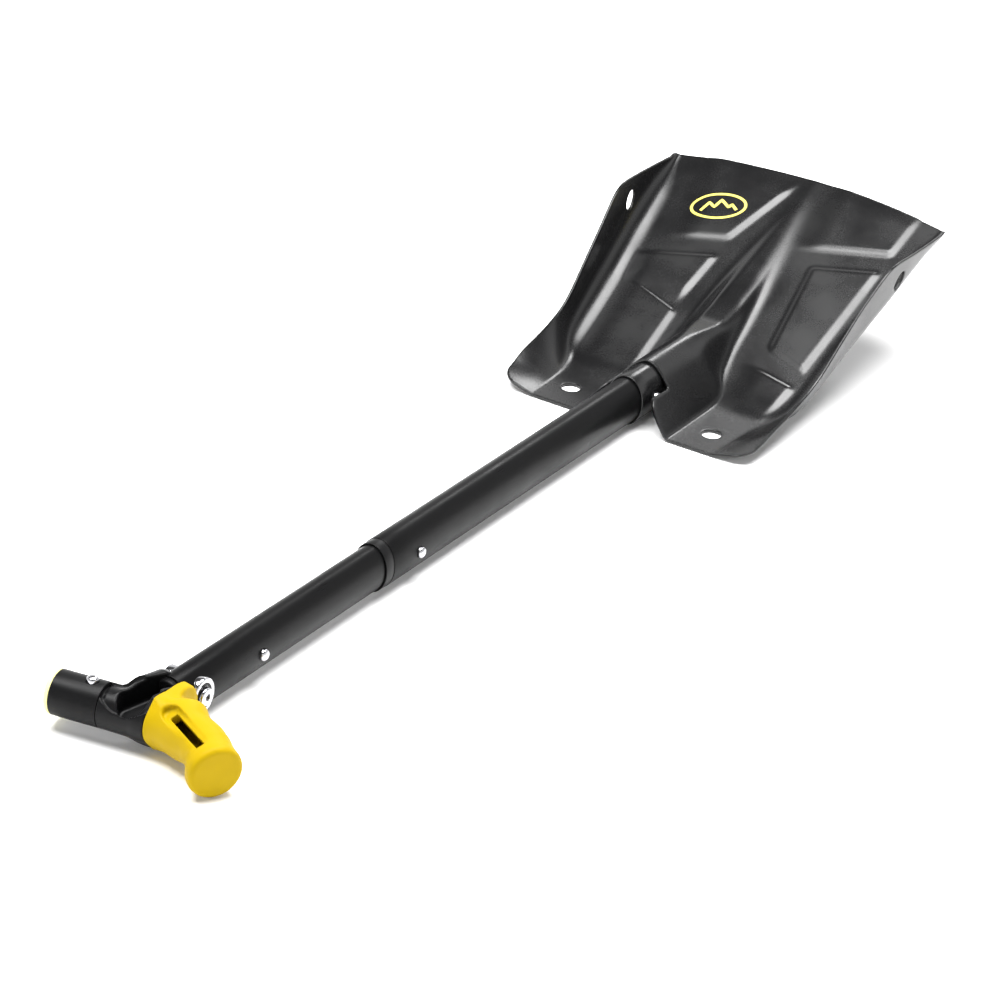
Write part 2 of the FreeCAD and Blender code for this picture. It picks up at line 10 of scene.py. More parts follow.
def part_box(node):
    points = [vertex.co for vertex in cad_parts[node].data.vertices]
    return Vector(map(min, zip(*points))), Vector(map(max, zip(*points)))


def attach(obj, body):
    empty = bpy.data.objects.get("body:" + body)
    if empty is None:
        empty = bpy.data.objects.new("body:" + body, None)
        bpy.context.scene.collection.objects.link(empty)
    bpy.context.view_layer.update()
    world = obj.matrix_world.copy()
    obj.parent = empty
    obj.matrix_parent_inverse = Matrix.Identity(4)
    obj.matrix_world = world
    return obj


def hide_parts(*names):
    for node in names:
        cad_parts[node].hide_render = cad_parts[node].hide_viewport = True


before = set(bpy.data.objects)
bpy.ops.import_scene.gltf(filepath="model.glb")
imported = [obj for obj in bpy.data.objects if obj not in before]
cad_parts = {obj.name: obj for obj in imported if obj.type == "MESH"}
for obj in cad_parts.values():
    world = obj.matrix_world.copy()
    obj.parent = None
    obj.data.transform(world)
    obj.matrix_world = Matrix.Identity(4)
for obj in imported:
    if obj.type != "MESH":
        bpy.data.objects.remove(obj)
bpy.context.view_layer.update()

# ---- The drawing frame: millimetres, +X across the blade, +Y along the shaft towards the blade,
# +Z up, with its origin on the shaft's axis at the socket's mouth

MM = 0.001
TUBE_LOW, TUBE_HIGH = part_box("upper_tube")
ORIGIN = Vector((0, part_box("socket_tube")[0].y, (TUBE_LOW.z + TUBE_HIGH.z) / 2))


def place(points):
    """Drawing-frame millimetres to the row's metres."""
    return np.asarray(points, float) * MM + np.array(ORIGIN)


def drawn(node):
    """A CAD node's corners in drawing-frame millimetres."""
    return [(corner - ORIGIN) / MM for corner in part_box(node)]


# ---- Mesh helpers

SHARP_ANGLE = math.radians(38)
# Millimetres between a place and its neighbours when a slope is measured
SLOPE_STEP = 0.05


def linked(name, data):
    """A new object in the scene."""
    item = bpy.data.objects.new(name, data)
    bpy.context.scene.collection.objects.link(item)
    return item


def new_object(name, vertices, faces):
    """A mesh object from drawing-frame millimetres, its normals made to agree."""
    mesh = bpy.data.meshes.new(name)
    mesh.from_pydata(place(vertices).tolist(), [], [tuple(face) for face in faces])
    work = bmesh.new()
    work.from_mesh(mesh)
    bmesh.ops.remove_doubles(work, verts=work.verts, dist=1e-6)
    bmesh.ops.recalc_face_normals(work, faces=work.faces)
    work.to_mesh(mesh)
    work.free()
    return linked(name, mesh)


def new_piece(name, vertices, faces, material, body, replaced=(), sharp=SHARP_ANGLE):
    """A finished mesh piece that rides on a body and stands for its CAD nodes."""
    piece = new_object(name, vertices, faces)
    piece.data.shade_smooth()
    piece.data.set_sharp_from_angle(angle=sharp)
    piece.data.materials.append(material)
    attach(piece, body)
    if replaced:
        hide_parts(*replaced)
    return piece


def grid_faces(rows, columns, wrap_rows=False, wrap_columns=True):
    """Quads over a grid of rows x columns vertices."""
    faces = []
    for row in range(rows if wrap_rows else rows - 1):
        after = (row + 1) % rows
        for column in range(columns if wrap_columns else columns - 1):
            beside = (column + 1) % columns
            faces.append((row * columns + column, row * columns + beside,
                          after * columns + beside, after * columns + column))
    return faces


def arc(centre, radius, start, end, steps=6):
    """Points of an arc in a profile's plane, angles in degrees."""
    angles = np.radians(np.linspace(start, end, steps))
    return [(centre[0] + radius * math.cos(a), centre[1] + radius * math.sin(a)) for a in angles]


def turned(profile, direction, base, segments=96, taller=0.0, closed=False):
    """Turn a profile of (radius, height) about direction through base.

    A radius is measured across the section; along the section it is longer by taller.
    Returns the vertices and faces, with end discs unless the profile is closed or ends on the axis.
    """
    axis = Vector(direction).normalized()
    side = Vector((0, 0, 1)).cross(axis)
    side = side.normalized() if side.length > 1e-6 else Vector((1, 0, 0))
    up = axis.cross(side)
    angles = np.linspace(0, 2 * math.pi, segments, endpoint=False)
    vertices = []
    for radius, height in profile:
        centre = Vector(base) + axis * height
        long_radius = radius + (taller if radius > 0 else 0.0)
        for angle in angles:
            vertices.append(centre + side * (radius * math.cos(angle))
                            + up * (long_radius * math.sin(angle)))
    faces = grid_faces(len(profile), segments, wrap_rows=closed)
    if not closed:
        for row in (0, len(profile) - 1):
            if profile[row][0] > 0:
                faces.append(tuple(range(row * segments, (row + 1) * segments)))
    return vertices, faces


def joined(*parts):
    """Several (vertices, faces) pairs as one."""
    vertices, faces = [], []
    for part_vertices, part_faces in parts:
        first = len(vertices)
        vertices += list(part_vertices)
        faces += [tuple(first + index for index in face) for face in part_faces]
    return vertices, faces


def box_mesh(low, high, round_by=0.3):
    """A block with rounded edges as (vertices, faces)."""
    work = bmesh.new()
    bmesh.ops.create_cube(work, size=1.0)
    low, high = Vector(low), Vector(high)
    for vertex in work.verts:
        vertex.co = Vector([(low[i] + high[i]) / 2 + vertex.co[i] * (high[i] - low[i])
                            for i in range(3)])
    bmesh.ops.bevel(work, geom=list(work.edges), offset=round_by, segments=2, affect="EDGES")
    work.verts.ensure_lookup_table()
    vertices = [vertex.co.copy() for vertex in work.verts]
    faces = [tuple(vertex.index for vertex in face.verts) for face in work.faces]
    work.free()
    return vertices, faces


def bored(piece, direction, points, radius, length=30.0):
    """Cut round holes through a finished piece."""
    for point in points:
        start = Vector(point) - Vector(direction).normalized() * 0.01
        vertices, faces = turned([(radius, 0), (radius, length)], direction, start, 40)
        drill = new_object("drill", vertices, faces)
        modifier = piece.modifiers.new("hole", "BOOLEAN")
        modifier.operation = "DIFFERENCE"
        modifier.solver = "EXACT"
        modifier.object = drill
        bpy.context.view_layer.update()
        evaluated = piece.evaluated_get(bpy.context.evaluated_depsgraph_get())
        cut_mesh = bpy.data.meshes.new_from_object(evaluated)
        piece.modifiers.clear()
        used_meshes = (piece.data, drill.data)
        piece.data = cut_mesh
        bpy.data.objects.remove(drill)
        for mesh in used_meshes:
            bpy.data.meshes.remove(mesh)
    piece.data.shade_smooth()
    piece.data.set_sharp_from_angle(angle=SHARP_ANGLE)


# ---- Sheet metal: a flat outline with holes, folded into shape by a function

def resampled(loop, step):
    """A closed loop's points about step apart, corners kept."""
    points = []
    count = len(loop)
    for index in range(count):
        start, end = np.array(loop[index]), np.array(loop[(index + 1) % count])
        parts = max(1, round(float(np.linalg.norm(end - start)) / step))
        points += [start + (end - start) * part / parts for part in range(parts)]
    return np.array(points)


def inside(points, loop):
    """Which points lie inside a closed loop."""
    x, y = points[:, 0], points[:, 1]
    result = np.zeros(len(points), bool)
    for (x1, y1), (x2, y2) in zip(loop, np.roll(loop, -1, 0)):
        if y1 != y2:
            crossing = (y1 > y) != (y2 > y)
            result ^= crossing & (x < (x2 - x1) * (y - y1) / (y2 - y1) + x1)
    return result


def near(points, loops, distance):
    """Which points lie within a distance of any loop's points."""
    border = np.vstack(loops)
    return np.array([np.hypot(*(border - point).T).min() < distance for point in points])


def on_sheet(points, loops):
    """Which points lie inside the first loop and outside the others."""
    keep = inside(points, loops[0])
    for hole in loops[1:]:
        keep &= ~inside(points, hole)
    return keep


def filled(loops, step):
    """Fill an outline, the first loop, up to its holes, the others.

    Returns the flat points, the triangles and the point numbers of each loop.
    """
    low, high = loops[0].min(0), loops[0].max(0)
    across = np.arange(low[0], high[0], step)
    along = np.arange(low[1], high[1], step)
    grid = np.stack(np.meshgrid(across, along, indexing="ij"), -1).reshape(-1, 2)
    grid = grid[on_sheet(grid, loops)]
    grid = grid[~near(grid, loops, step * 0.6)]
    flat = np.vstack(loops + [grid])
    edges, first = [], 0
    for loop in loops:
        count = len(loop)
        edges += [(first + i, first + (i + 1) % count) for i in range(count)]
        first += count
    result = geometry.delaunay_2d_cdt([Vector(p) for p in flat], edges, [], 0, 1e-5)
    flat = np.array([(v.x, v.y) for v in result[0]])
    moved_to = {old: new for new, olds in enumerate(result[3]) for old in olds}
    triangles = np.array(result[2])
    triangles = triangles[on_sheet(flat[triangles].mean(1), loops)]
    loop_ids, first = [], 0
    for loop in loops:
        loop_ids.append(np.array([moved_to[first + i] for i in range(len(loop))]))
        first += len(loop)
    return flat, triangles, loop_ids


def formed_sheet(outline, holes, surface, thickness, step, edge_rows=6, bulge=0.5):
    """Fold a flat outline into a sheet with rounded edges.  Returns vertices and faces.

    surface(s, y) gives the upper side's points for arrays of places on the flat blank.
    """
    loops = [resampled(outline, step)] + [resampled(hole, step / 2) for hole in holes]
    flat, triangles, loop_ids = filled(loops, step)
    s, y = flat[:, 0], flat[:, 1]
    top = surface(s, y)
    normals = np.cross(surface(s + SLOPE_STEP, y) - surface(s - SLOPE_STEP, y),
                       surface(s, y + SLOPE_STEP) - surface(s, y - SLOPE_STEP))
    normals /= np.linalg.norm(normals, axis=1)[:, None]
    count = len(flat)
    vertices = [top, top - normals * thickness]
    faces = [tuple(t) for t in triangles] + [tuple(t[::-1] + count) for t in triangles]

    first_new = 2 * count
    for ids in loop_ids:
        points, up = top[ids], normals[ids]
        tangent = np.roll(points, -1, 0) - np.roll(points, 1, 0)
        outward = np.cross(tangent, up)
        outward /= np.linalg.norm(outward, axis=1)[:, None]
        area = np.cross(flat[ids], np.roll(flat[ids], -1, 0)).sum()
        is_hole = ids is not loop_ids[0]
        if (area < 0) != is_hole:
            outward = -outward
        rows = [ids]
        for row in range(1, edge_rows):
            angle = math.pi * row / edge_rows
            depth = thickness / 2 * (1 - math.cos(angle))
            vertices.append(points + outward * (bulge * math.sin(angle)) - up * depth)
            rows.append(first_new + np.arange(len(ids)))
            first_new += len(ids)
        rows.append(ids + count)
        edge_ids = np.concatenate(rows)
        faces += [edge_ids[list(face)] for face in grid_faces(len(rows), len(ids))]
    return np.vstack(vertices), [tuple(int(i) for i in face) for face in faces]


# ---- Moulded solids: distance functions meshed as their zero surface

def blend_union(a, b, radius):
    """The distance to two solids together, their seam filleted."""
    share = np.clip(0.5 + 0.5 * (b - a) / radius, 0, 1)
    return b + (a - b) * share - radius * share * (1 - share)


def blend_common(a, b, radius):
    """The distance to what two solids share, its edge rounded."""
    return -blend_union(-a, -b, radius)


def blend_cut(a, b, radius):
    """The distance to the first solid without the second, the edge rounded."""
    return blend_common(a, -b, radius)


def cell_corner(grid, place_in_cell):
    """A grid's values at one corner of every cell."""
    return grid[tuple(slice(i, i + size - 1) for i, size in zip(place_in_cell, grid.shape))]


def crossing_points(field, mixed, low, step):
    """In each mixed cell, the mean of the places where the field is zero on its edges."""
    total = np.zeros((mixed.sum(), 3))
    crossings = np.zeros(mixed.sum())
    for axis, first, second in itertools.product(range(3), (0, 1), (0, 1)):
        start = [first, second]
        start.insert(axis, 0)
        end = list(start)
        end[axis] = 1
        a, b = cell_corner(field, start)[mixed], cell_corner(field, end)[mixed]
        change = (a < 0) != (b < 0)
        share = np.where(change, a / np.where(change, a - b, 1.0), 0.0)
        point = np.tile(np.array(start, float), (len(a), 1))
        point[:, axis] = share
        total += point * change[:, None]
        crossings += change
    return (np.argwhere(mixed) + total / crossings[:, None]) * step + low


def crossing_quads(within, number):
    """A face round each grid edge with one end within, from the numbers of its four cells."""
    faces = []
    for axis in range(3):
        others = [i for i in range(3) if i != axis]
        a = [slice(None)] * 3
        b = [slice(None)] * 3
        a[axis], b[axis] = slice(0, -1), slice(1, None)
        change = within[tuple(a)] != within[tuple(b)]
        for edge in np.argwhere(change):
            if min(edge[others[0]], edge[others[1]]) < 1:
                continue
            quad = []
            for back_first, back_second in ((1, 1), (0, 1), (0, 0), (1, 0)):
                cell = list(edge)
                cell[others[0]] -= back_first
                cell[others[1]] -= back_second
                quad.append(int(number[tuple(cell)]))
            faces.append(tuple(quad))
    return faces


def drawn_to_zero(vertices, distance, longest_move):
    """Vertices moved along the slope to where the distance is zero."""
    for _ in range(2):
        value = distance(vertices)
        slope = np.stack([(distance(vertices + offset) - distance(vertices - offset))
                          / (2 * SLOPE_STEP) for offset in np.eye(3) * SLOPE_STEP], -1)
        steepness = np.maximum((slope ** 2).sum(1), 0.2)
        move = slope * (value / steepness)[:, None]
        length = np.linalg.norm(move, axis=1)
        move *= np.minimum(1.0, longest_move / np.maximum(length, 1e-9))[:, None]
        vertices = vertices - move
    return vertices


def moulded(distance, low, high, step):
    """Mesh the surface where distance(points) is zero, one vertex in each cell it crosses."""
    axes = [np.arange(low[i], high[i] + step, step) for i in range(3)]
    grid = np.stack(np.meshgrid(*axes, indexing="ij"), -1)
    field = distance(grid.reshape(-1, 3)).reshape(grid.shape[:3])
    within = field < 0
    corners = itertools.product((0, 1), repeat=3)
    counts = sum(cell_corner(within, corner).astype(int) for corner in corners)
    mixed = (counts > 0) & (counts < 8)
    number = np.full(mixed.shape, -1)
    number[mixed] = np.arange(mixed.sum())
    vertices = crossing_points(field, mixed, np.array([a[0] for a in axes]), step)
    return drawn_to_zero(vertices, distance, step), crossing_quads(within, number)


def along_axis(points, base, direction):
    """Distance along an axis, and each point's offset from it."""
    offset = points - np.array(base)
    direction = np.array(direction)
    run = offset @ direction
    return run, offset - run[:, None] * direction


def round_bar(points, base, direction, radius, start, end, edge=1.0):
    """Distance to a round bar with filleted ends; radius may be a function of the run."""
    run, offset = along_axis(points, base, direction)
    width = np.linalg.norm(offset, axis=1) - (radius(run) if callable(radius) else radius)
    return blend_common(width, np.maximum(start - run, run - end), edge)


def oval_bar(points, half_width, half_height, start, end, edge=1.0):
    """Distance to an oval bar on the shaft's axis."""
    x, y, z = points[:, 0], points[:, 1], points[:, 2]
    scaled = np.sqrt((x / half_width) ** 2 + (z / half_height) ** 2)
    slope = np.sqrt((x / half_width ** 2) ** 2 + (z / half_height ** 2) ** 2) + 1e-6
    width = scaled * (scaled - 1) / slope
    return blend_common(width, np.maximum(start - y, y - end), edge)


# ---- Materials

BROAD_GRAIN = 23


def noise(tree, scale, source):
    """The output of a new noise node."""
    node = tree.nodes.new("ShaderNodeTexNoise")
    node.inputs["Scale"].default_value = scale
    node.inputs["Detail"].default_value = 3
    tree.links.new(source, node.inputs["Vector"])
    return node.outputs["Fac"]


def ranged(tree, source, low, high, span=(0.3, 0.7)):
    """The output of a new node that stretches a span of its source over low to high."""
    node = tree.nodes.new("ShaderNodeMapRange")
    for name, value in zip(("From Min", "From Max", "To Min", "To Max"), (*span, low, high)):
        node.inputs[name].default_value = value
    tree.links.new(source, node.inputs["Value"])
    return node.outputs["Result"]


def finish(name, colour, roughness, metallic=0.0, specular=0.5, grain=2600, streaks=(1, 1, 1),
           mottle=0.06, relief=0.00002, tint=None):
    """A procedural finish.

    grain is the bump's scale per metre, streaks stretches the grain along an axis (x, y, z),
    mottle is how far roughness wanders, and tint is a second colour that drifts in.
    """
    material = bpy.data.materials.new(name)
    material.use_nodes = True
    tree = material.node_tree
    nodes, links = tree.nodes, tree.links
    shader = nodes["Principled BSDF"]
    shader.inputs["Metallic"].default_value = metallic
    shader.inputs["Specular IOR Level"].default_value = specular
    coordinates = nodes.new("ShaderNodeTexCoord")
    stretch = nodes.new("ShaderNodeMapping")
    stretch.inputs["Scale"].default_value = streaks
    links.new(coordinates.outputs["Object"], stretch.inputs["Vector"])
    fine = noise(tree, grain, stretch.outputs["Vector"])
    broad = noise(tree, BROAD_GRAIN, coordinates.outputs["Object"])

    mixed = nodes.new("ShaderNodeMath")
    mixed.operation = "ADD"
    links.new(ranged(tree, broad, roughness - mottle, roughness + mottle), mixed.inputs[0])
    links.new(ranged(tree, fine, -mottle / 2, mottle / 2), mixed.inputs[1])
    links.new(mixed.outputs["Value"], shader.inputs["Roughness"])

    ramp = nodes.new("ShaderNodeMix")
    ramp.data_type = "RGBA"
    second = tint or tuple(c * 0.82 for c in colour)
    ramp.inputs["A"].default_value = (*colour, 1)
    ramp.inputs["B"].default_value = (*second, 1)
    links.new(ranged(tree, broad, 0, 1), ramp.inputs["Factor"])
    links.new(ramp.outputs["Result"], shader.inputs["Base Color"])

    bump = nodes.new("ShaderNodeBump")
    bump.inputs["Strength"].default_value = 1.0
    bump.inputs["Distance"].default_value = relief
    links.new(fine, bump.inputs["Height"])
    links.new(bump.outputs["Normal"], shader.inputs["Normal"])
    return material


BLACK_BLADE = finish("black_powder_coat", (0.0045, 0.0045, 0.0048), 0.26, specular=0.40,
                     grain=1500, relief=0.000005)
BLACK_TUBE = finish("black_anodised", (0.003, 0.003, 0.0032), 0.33, specular=0.08,
                    grain=1800, streaks=(1, 0.04, 1), relief=0.000008)
BLACK_PLASTIC = finish("black_nylon", (0.0032, 0.0032, 0.0035), 0.38, specular=0.12, grain=3200)
YELLOW = finish("yellow_plastic", (0.36, 0.245, 0.0), 0.50, specular=0.08, grain=2400,
                tint=(0.34, 0.228, 0.0))
PALE_YELLOW = finish("pale_yellow_plastic", (0.80, 0.76, 0.34), 0.40, specular=0.2, grain=2400,
                     tint=(0.78, 0.73, 0.28))
STEEL = finish("bright_steel", (0.50, 0.50, 0.52), 0.14, metallic=1.0, grain=900,
               relief=0.000004, mottle=0.03)
WELD = finish("coated_weld", (0.016, 0.016, 0.017), 0.36, grain=900, relief=0.00006)
PRINT = finish("yellow_print", (0.72, 0.62, 0.10), 0.45, grain=3000, relief=0.000008)


# ---- Blade

SHEET = 2.0
EAR_LEVEL = -18.5
HEEL_Y = 80.0
HEEL_SOFTNESS = 7.0
PANEL_ANGLE = math.radians(27)
CUT_CENTRE_Y = 285.2
CUT_CORNER = (113.0, 274.5)
CUT_END_X = 111.5
CUT_CONTROL = (118.0, 272.0)
WALL_END_Y = 266.0
EAR_EDGE_Y = -2.0
EAR_CORNER_RADIUS = 16.0
EAR_CORNER_Y = EAR_EDGE_Y + EAR_CORNER_RADIUS
ARCH_Y = 30.0
ARCH_X = 20.5
ARCH_CORNER = 3
NOTCH_X = 37.0
NOTCH_START_Y = 14.0
NOTCH_CONTROL = (ARCH_X - 1.5, EAR_EDGE_Y - 0.5)
EAR_HOLE_X, EAR_HOLE_Y, EAR_HOLE_RADIUS = 60.0, 27.0, 7.75
WALL_HOLE_Y, WALL_HOLE_Z, WALL_HOLE_RADIUS = 198.0, 65.0, 7.0
BLANK_STEP = 1.4

# Along the blade: y, the bend's corner, the wall's top (across and up) and the bend's radius
WALL = np.array([
    (-10.0, 75.5, 101.0, -13.0, 7.0),
    (13.0, 77.0, 104.8, -9.5, 7.0),
    (30.0, 78.5, 106.0, -3.5, 8.0),
    (50.0, 81.0, 106.2, 0.5, 11.0),
    (68.0, 88.0, 106.2, 5.0, 14.0),
    (87.0, 98.0, 106.6, 11.0, 17.0),
    (101.0, 101.5, 107.6, 19.0, 18.0),
    (124.0, 105.0, 109.8, 38.5, 20.0),
    (148.0, 108.0, 112.2, 58.0, 21.0),
    (175.0, 111.0, 116.2, 78.0, 21.0),
    (188.0, 112.4, 117.3, 81.5, 20.0),
    (211.0, 114.2, 118.2, 81.3, 20.0),
    (240.0, 115.8, 118.2, 81.0, 17.0),
    (268.5, 116.6, 117.6, 81.0, 4.5),
    (300.0, 116.8, 117.8, 97.4, 4.5),
])

# Along the blade: y, the ridge's crest height, its top's half-width and its foot's half-width
RIDGE = np.array([
    (-10.0, 22.2, 7.5, 38.5),
    (84.0, 22.2, 7.5, 38.5),
    (98.0, 22.0, 9.0, 27.0),
    (114.0, 21.4, 11.0, 22.0),
    (127.0, 21.0, 11.5, 21.0),
    (150.0, 27.2, 11.0, 20.5),
    (182.0, 39.8, 9.0, 18.5),
    (225.0, 58.6, 5.0, 13.5),
    (264.0, 76.0, 1.5, 7.5),
    (300.0, 93.6, 1.5, 7.5),
])

# Raised fields on the panel: corners (across, up the panel from the heel), each with the
# width of the slope on the side that runs from it to the next corner
CRISP, FADED = 4.5, 18.0
FIELDS = [
    [(-72, 139.6, CRISP), (-35.5, 150, CRISP), (-13, 216, FADED), (-92, 232, FADED)],
    [(-90, 82, FADED), (-40, 84, CRISP), (-35.5, 130, CRISP), (-92, 113, FADED)],
    [(-84, -4, FADED), (-38, 0, CRISP), (-38, 67.5, CRISP), (-86, 85, FADED)],
    [(26, 163, CRISP), (90.5, 180, CRISP), (94, 222, FADED), (20, 232, FADED)],
    [(48.5, 60.5, CRISP), (82, 49, CRISP), (90, 160, CRISP), (39.5, 146, CRISP)],
    [(46, -4, FADED), (78, -6, CRISP), (83, 31.5, CRISP), (46, 39, FADED)],
]
FIELD_HEIGHT = 2.2
FIELD_EASING = 0.3
FIELD_END = 6.0
RIDGE_STRAIGHTENING = 40.0
RIDGE_TO_FIELD = 1.5


def eased(table, y, column, window=7.0):
    """A table's column at y, its corners eased over a window."""
    offsets = np.linspace(-window, window, 9)
    return np.mean([np.interp(y + o, table[:, 0], table[:, column]) for o in offsets], axis=0)


def floor_height(y):
    """Height of the flat under the ears, then of the sloping panel."""
    t = (y - HEEL_Y) / HEEL_SOFTNESS
    return EAR_LEVEL + math.tan(PANEL_ANGLE) * HEEL_SOFTNESS * np.logaddexp(0, t)


def panel_run(y):
    """Distance up the panel from the heel."""
    return (y - HEEL_Y) / math.cos(PANEL_ANGLE)


def smooth_step(t):
    """A rise from 0 to 1 that starts and ends level."""
    t = np.clip(t, 0, 1)
    return t * t * (3 - 2 * t)


def rounded_step(t, shoulder, fillet):
    """A straight rise from 0 to 1, rounded by shoulder at its top and by fillet at its foot."""
    t = blend_union(np.clip(t, -1, 2), np.ones_like(t), shoulder)
    t = -blend_union(-t, np.zeros_like(t), fillet)
    return np.clip(t, 0, 1)


def field_height(x, y):
    """Height of the raised fields above the panel."""
    run = panel_run(y)
    height = np.zeros_like(x)
    for corners in FIELDS:
        share = np.ones_like(x)
        for (x1, v1, width), (x2, v2, _) in zip(corners, corners[1:] + corners[:1]):
            length = math.hypot(x2 - x1, v2 - v1)
            depth = ((x2 - x1) * (run - v1) - (v2 - v1) * (x - x1)) / length
            share = share * rounded_step(depth / width + 0.5, FIELD_EASING, FIELD_EASING)
        height = np.maximum(height, FIELD_HEIGHT * share)
    return height


def ridge_height(x, y):
    """Height of the middle ridge above the floor; it hugs the socket at its rear."""
    crest = eased(RIDGE, y, 1, 5.0) - floor_height(y)
    top, foot = eased(RIDGE, y, 2), eased(RIDGE, y, 3)
    sloping = smooth_step((y - HEEL_Y) / RIDGE_STRAIGHTENING)
    side = rounded_step((foot - np.abs(x)) / (foot - top), 0.30 + 0.15 * sloping,
                        0.05 + 0.60 * sloping)
    return np.maximum(crest, 0) * side


def wall_shape(y):
    """The bend's start, radius and angle, and the wall's length beyond it, at y."""
    corner, top_x, top_z, radius = [eased(WALL, y, column) for column in (1, 2, 3, 4)]
    rise = np.maximum(top_z - floor_height(y), 0.6)
    angle = np.arctan2(rise, np.maximum(top_x - corner, 0.3))
    tangent = np.minimum(radius * np.tan(angle / 2), rise * 0.85)
    radius = tangent / np.tan(angle / 2)
    length = np.hypot(rise, top_x - corner) - tangent
    return corner - tangent, radius, angle, length


def blade_surface(s, y):
    """A place on the flat blank to its place on the formed blade's upper side."""
    start, radius, angle, _ = wall_shape(y)
    a = np.abs(s)
    turn = np.clip((a - start) / radius, 0, angle)
    beyond = np.maximum(a - start - radius * angle, 0)
    x = np.minimum(a, start) + radius * np.sin(turn) + beyond * np.cos(angle)
    z = floor_height(y) + radius * (1 - np.cos(turn)) + beyond * np.sin(angle)
    on_floor = smooth_step((start + FIELD_END - a) / FIELD_END)
    fields = field_height(s, y) * on_floor
    z = z - blend_union(-ridge_height(a, y), -fields, RIDGE_TO_FIELD)
    return np.stack([np.sign(s) * x, y, z], -1)


def wall_top(y):
    """The blank's half-width at y."""
    start, radius, angle, length = wall_shape(np.array([float(y)]))
    return float((start + radius * angle + length)[0])


def curve(start, control, end, steps=10):
    """Points of a quadratic curve, its last left out."""
    t = np.linspace(0, 1, steps, endpoint=False)[:, None]
    start, control, end = (np.array(p, float) for p in (start, control, end))
    return list((1 - t) ** 2 * start + 2 * t * (1 - t) * control + t ** 2 * end)


def cutting_edge(x):
    """The cutting edge's y at x."""
    sag = CUT_CENTRE_Y - CUT_CORNER[1]
    return CUT_CENTRE_Y - sag * (x / CUT_CORNER[0]) ** 2


def blade_outline():
    """The flat blank's outline, anticlockwise from the middle of the cutting edge."""
    edge_end = (CUT_END_X, cutting_edge(CUT_END_X))
    control = (wall_top(CUT_CONTROL[1]), cutting_edge(CUT_CONTROL[0]))
    half = [(x, cutting_edge(x)) for x in np.linspace(0, CUT_END_X, 80, endpoint=False)]
    half += curve(edge_end, control, (wall_top(WALL_END_Y), WALL_END_Y))
    half += [(wall_top(y), y) for y in np.arange(WALL_END_Y, EAR_CORNER_Y, -1.5)]
    ear_x = wall_top(EAR_CORNER_Y) - EAR_CORNER_RADIUS
    half += [(ear_x + EAR_CORNER_RADIUS * math.cos(t),
              EAR_CORNER_Y - EAR_CORNER_RADIUS * math.sin(t))
             for t in np.linspace(0, math.pi / 2, 14)]
    half += curve((NOTCH_X, EAR_EDGE_Y), NOTCH_CONTROL, (ARCH_X, NOTCH_START_Y), 14)
    arch_end = (ARCH_X - ARCH_CORNER, ARCH_Y)
    half += curve((ARCH_X, ARCH_Y - ARCH_CORNER), (ARCH_X, ARCH_Y), arch_end, 5)
    half.append(arch_end)
    right = [tuple(p) for p in half]
    left = [(-x, y) for x, y in reversed(right[1:])]
    return right + left


def circle(x, y, radius, steps=48):
    """A circle's points."""
    return [(x + radius * math.cos(t), y + radius * math.sin(t))
            for t in np.linspace(0, 2 * math.pi, steps, endpoint=False)]


def wall_hole_place():
    """How far across the blank the wall's hole lies."""
    across = np.linspace(100, 200, 2001)
    heights = blade_surface(across, np.full_like(across, WALL_HOLE_Y))[:, 2]
    return float(across[np.argmin(np.abs(heights - WALL_HOLE_Z))])


def make_blade():
    hole_x = wall_hole_place()
    holes = [circle(side * EAR_HOLE_X, EAR_HOLE_Y, EAR_HOLE_RADIUS) for side in (1, -1)]
    holes += [circle(side * hole_x, WALL_HOLE_Y, WALL_HOLE_RADIUS) for side in (1, -1)]
    vertices, faces = formed_sheet(blade_outline(), holes, blade_surface, SHEET, BLANK_STEP)
    new_piece("scoop_blade", vertices, faces, BLACK_BLADE, "blade_assembly",
              ["blade"], math.radians(70))


def on_panel(points, stand):
    """Panel places (across, up the panel) to points that stand above the blade's surface."""
    points = np.array(points, float)
    s, y = points[:, 0], HEEL_Y + points[:, 1] * math.cos(PANEL_ANGLE)
    up = np.array([0, -math.sin(PANEL_ANGLE), math.cos(PANEL_ANGLE)])
    return blade_surface(s, y) + up * stand


def printed(centre_line, width, closed, centre, turn):
    """A thin printed ribbon along a line, laid on the blade."""
    line = np.array(centre_line, float)
    ahead, behind = np.roll(line, -1, 0), np.roll(line, 1, 0)
    if not closed:
        ahead[-1], behind[0] = line[-1], line[0]
    tangent = ahead - behind
    tangent /= np.linalg.norm(tangent, axis=1)[:, None]
    across = np.stack([-tangent[:, 1], tangent[:, 0]], -1) * width / 2
    rotation = np.array([[math.cos(turn), math.sin(turn)], [-math.sin(turn), math.cos(turn)]])
    sides = [(line + offset) @ rotation + np.array(centre) for offset in (across, -across)]
    rows = [on_panel(sides[0], PRINT_FOOT), on_panel(sides[0], PRINT_TOP),
            on_panel(sides[1], PRINT_TOP), on_panel(sides[1], PRINT_FOOT)]
    count = len(line)
    vertices = np.vstack(rows)
    faces = grid_faces(4, count, wrap_rows=True, wrap_columns=closed)
    if not closed:
        faces += [tuple(row * count for row in range(4)),
                  tuple(row * count + count - 1 for row in range(4))]
    return vertices, faces


EMBLEM_CENTRE, EMBLEM_TURN = (-58.5, 176.5), math.radians(21.5)
EMBLEM_HALF_WIDTH, EMBLEM_HALF_HEIGHT = 21.5, 12.8
RING_LINE, PEAK_LINE = 2.2, 2.4
PEAKS = [(-14.0, -4.5), (-7.5, 4.0), (-3.5, -1.0), (2.0, 6.5), (8.0, -1.5), (10.5, 1.5),
         (14.5, -4.5)]
PRINT_FOOT, PRINT_TOP = 0.02, 0.10


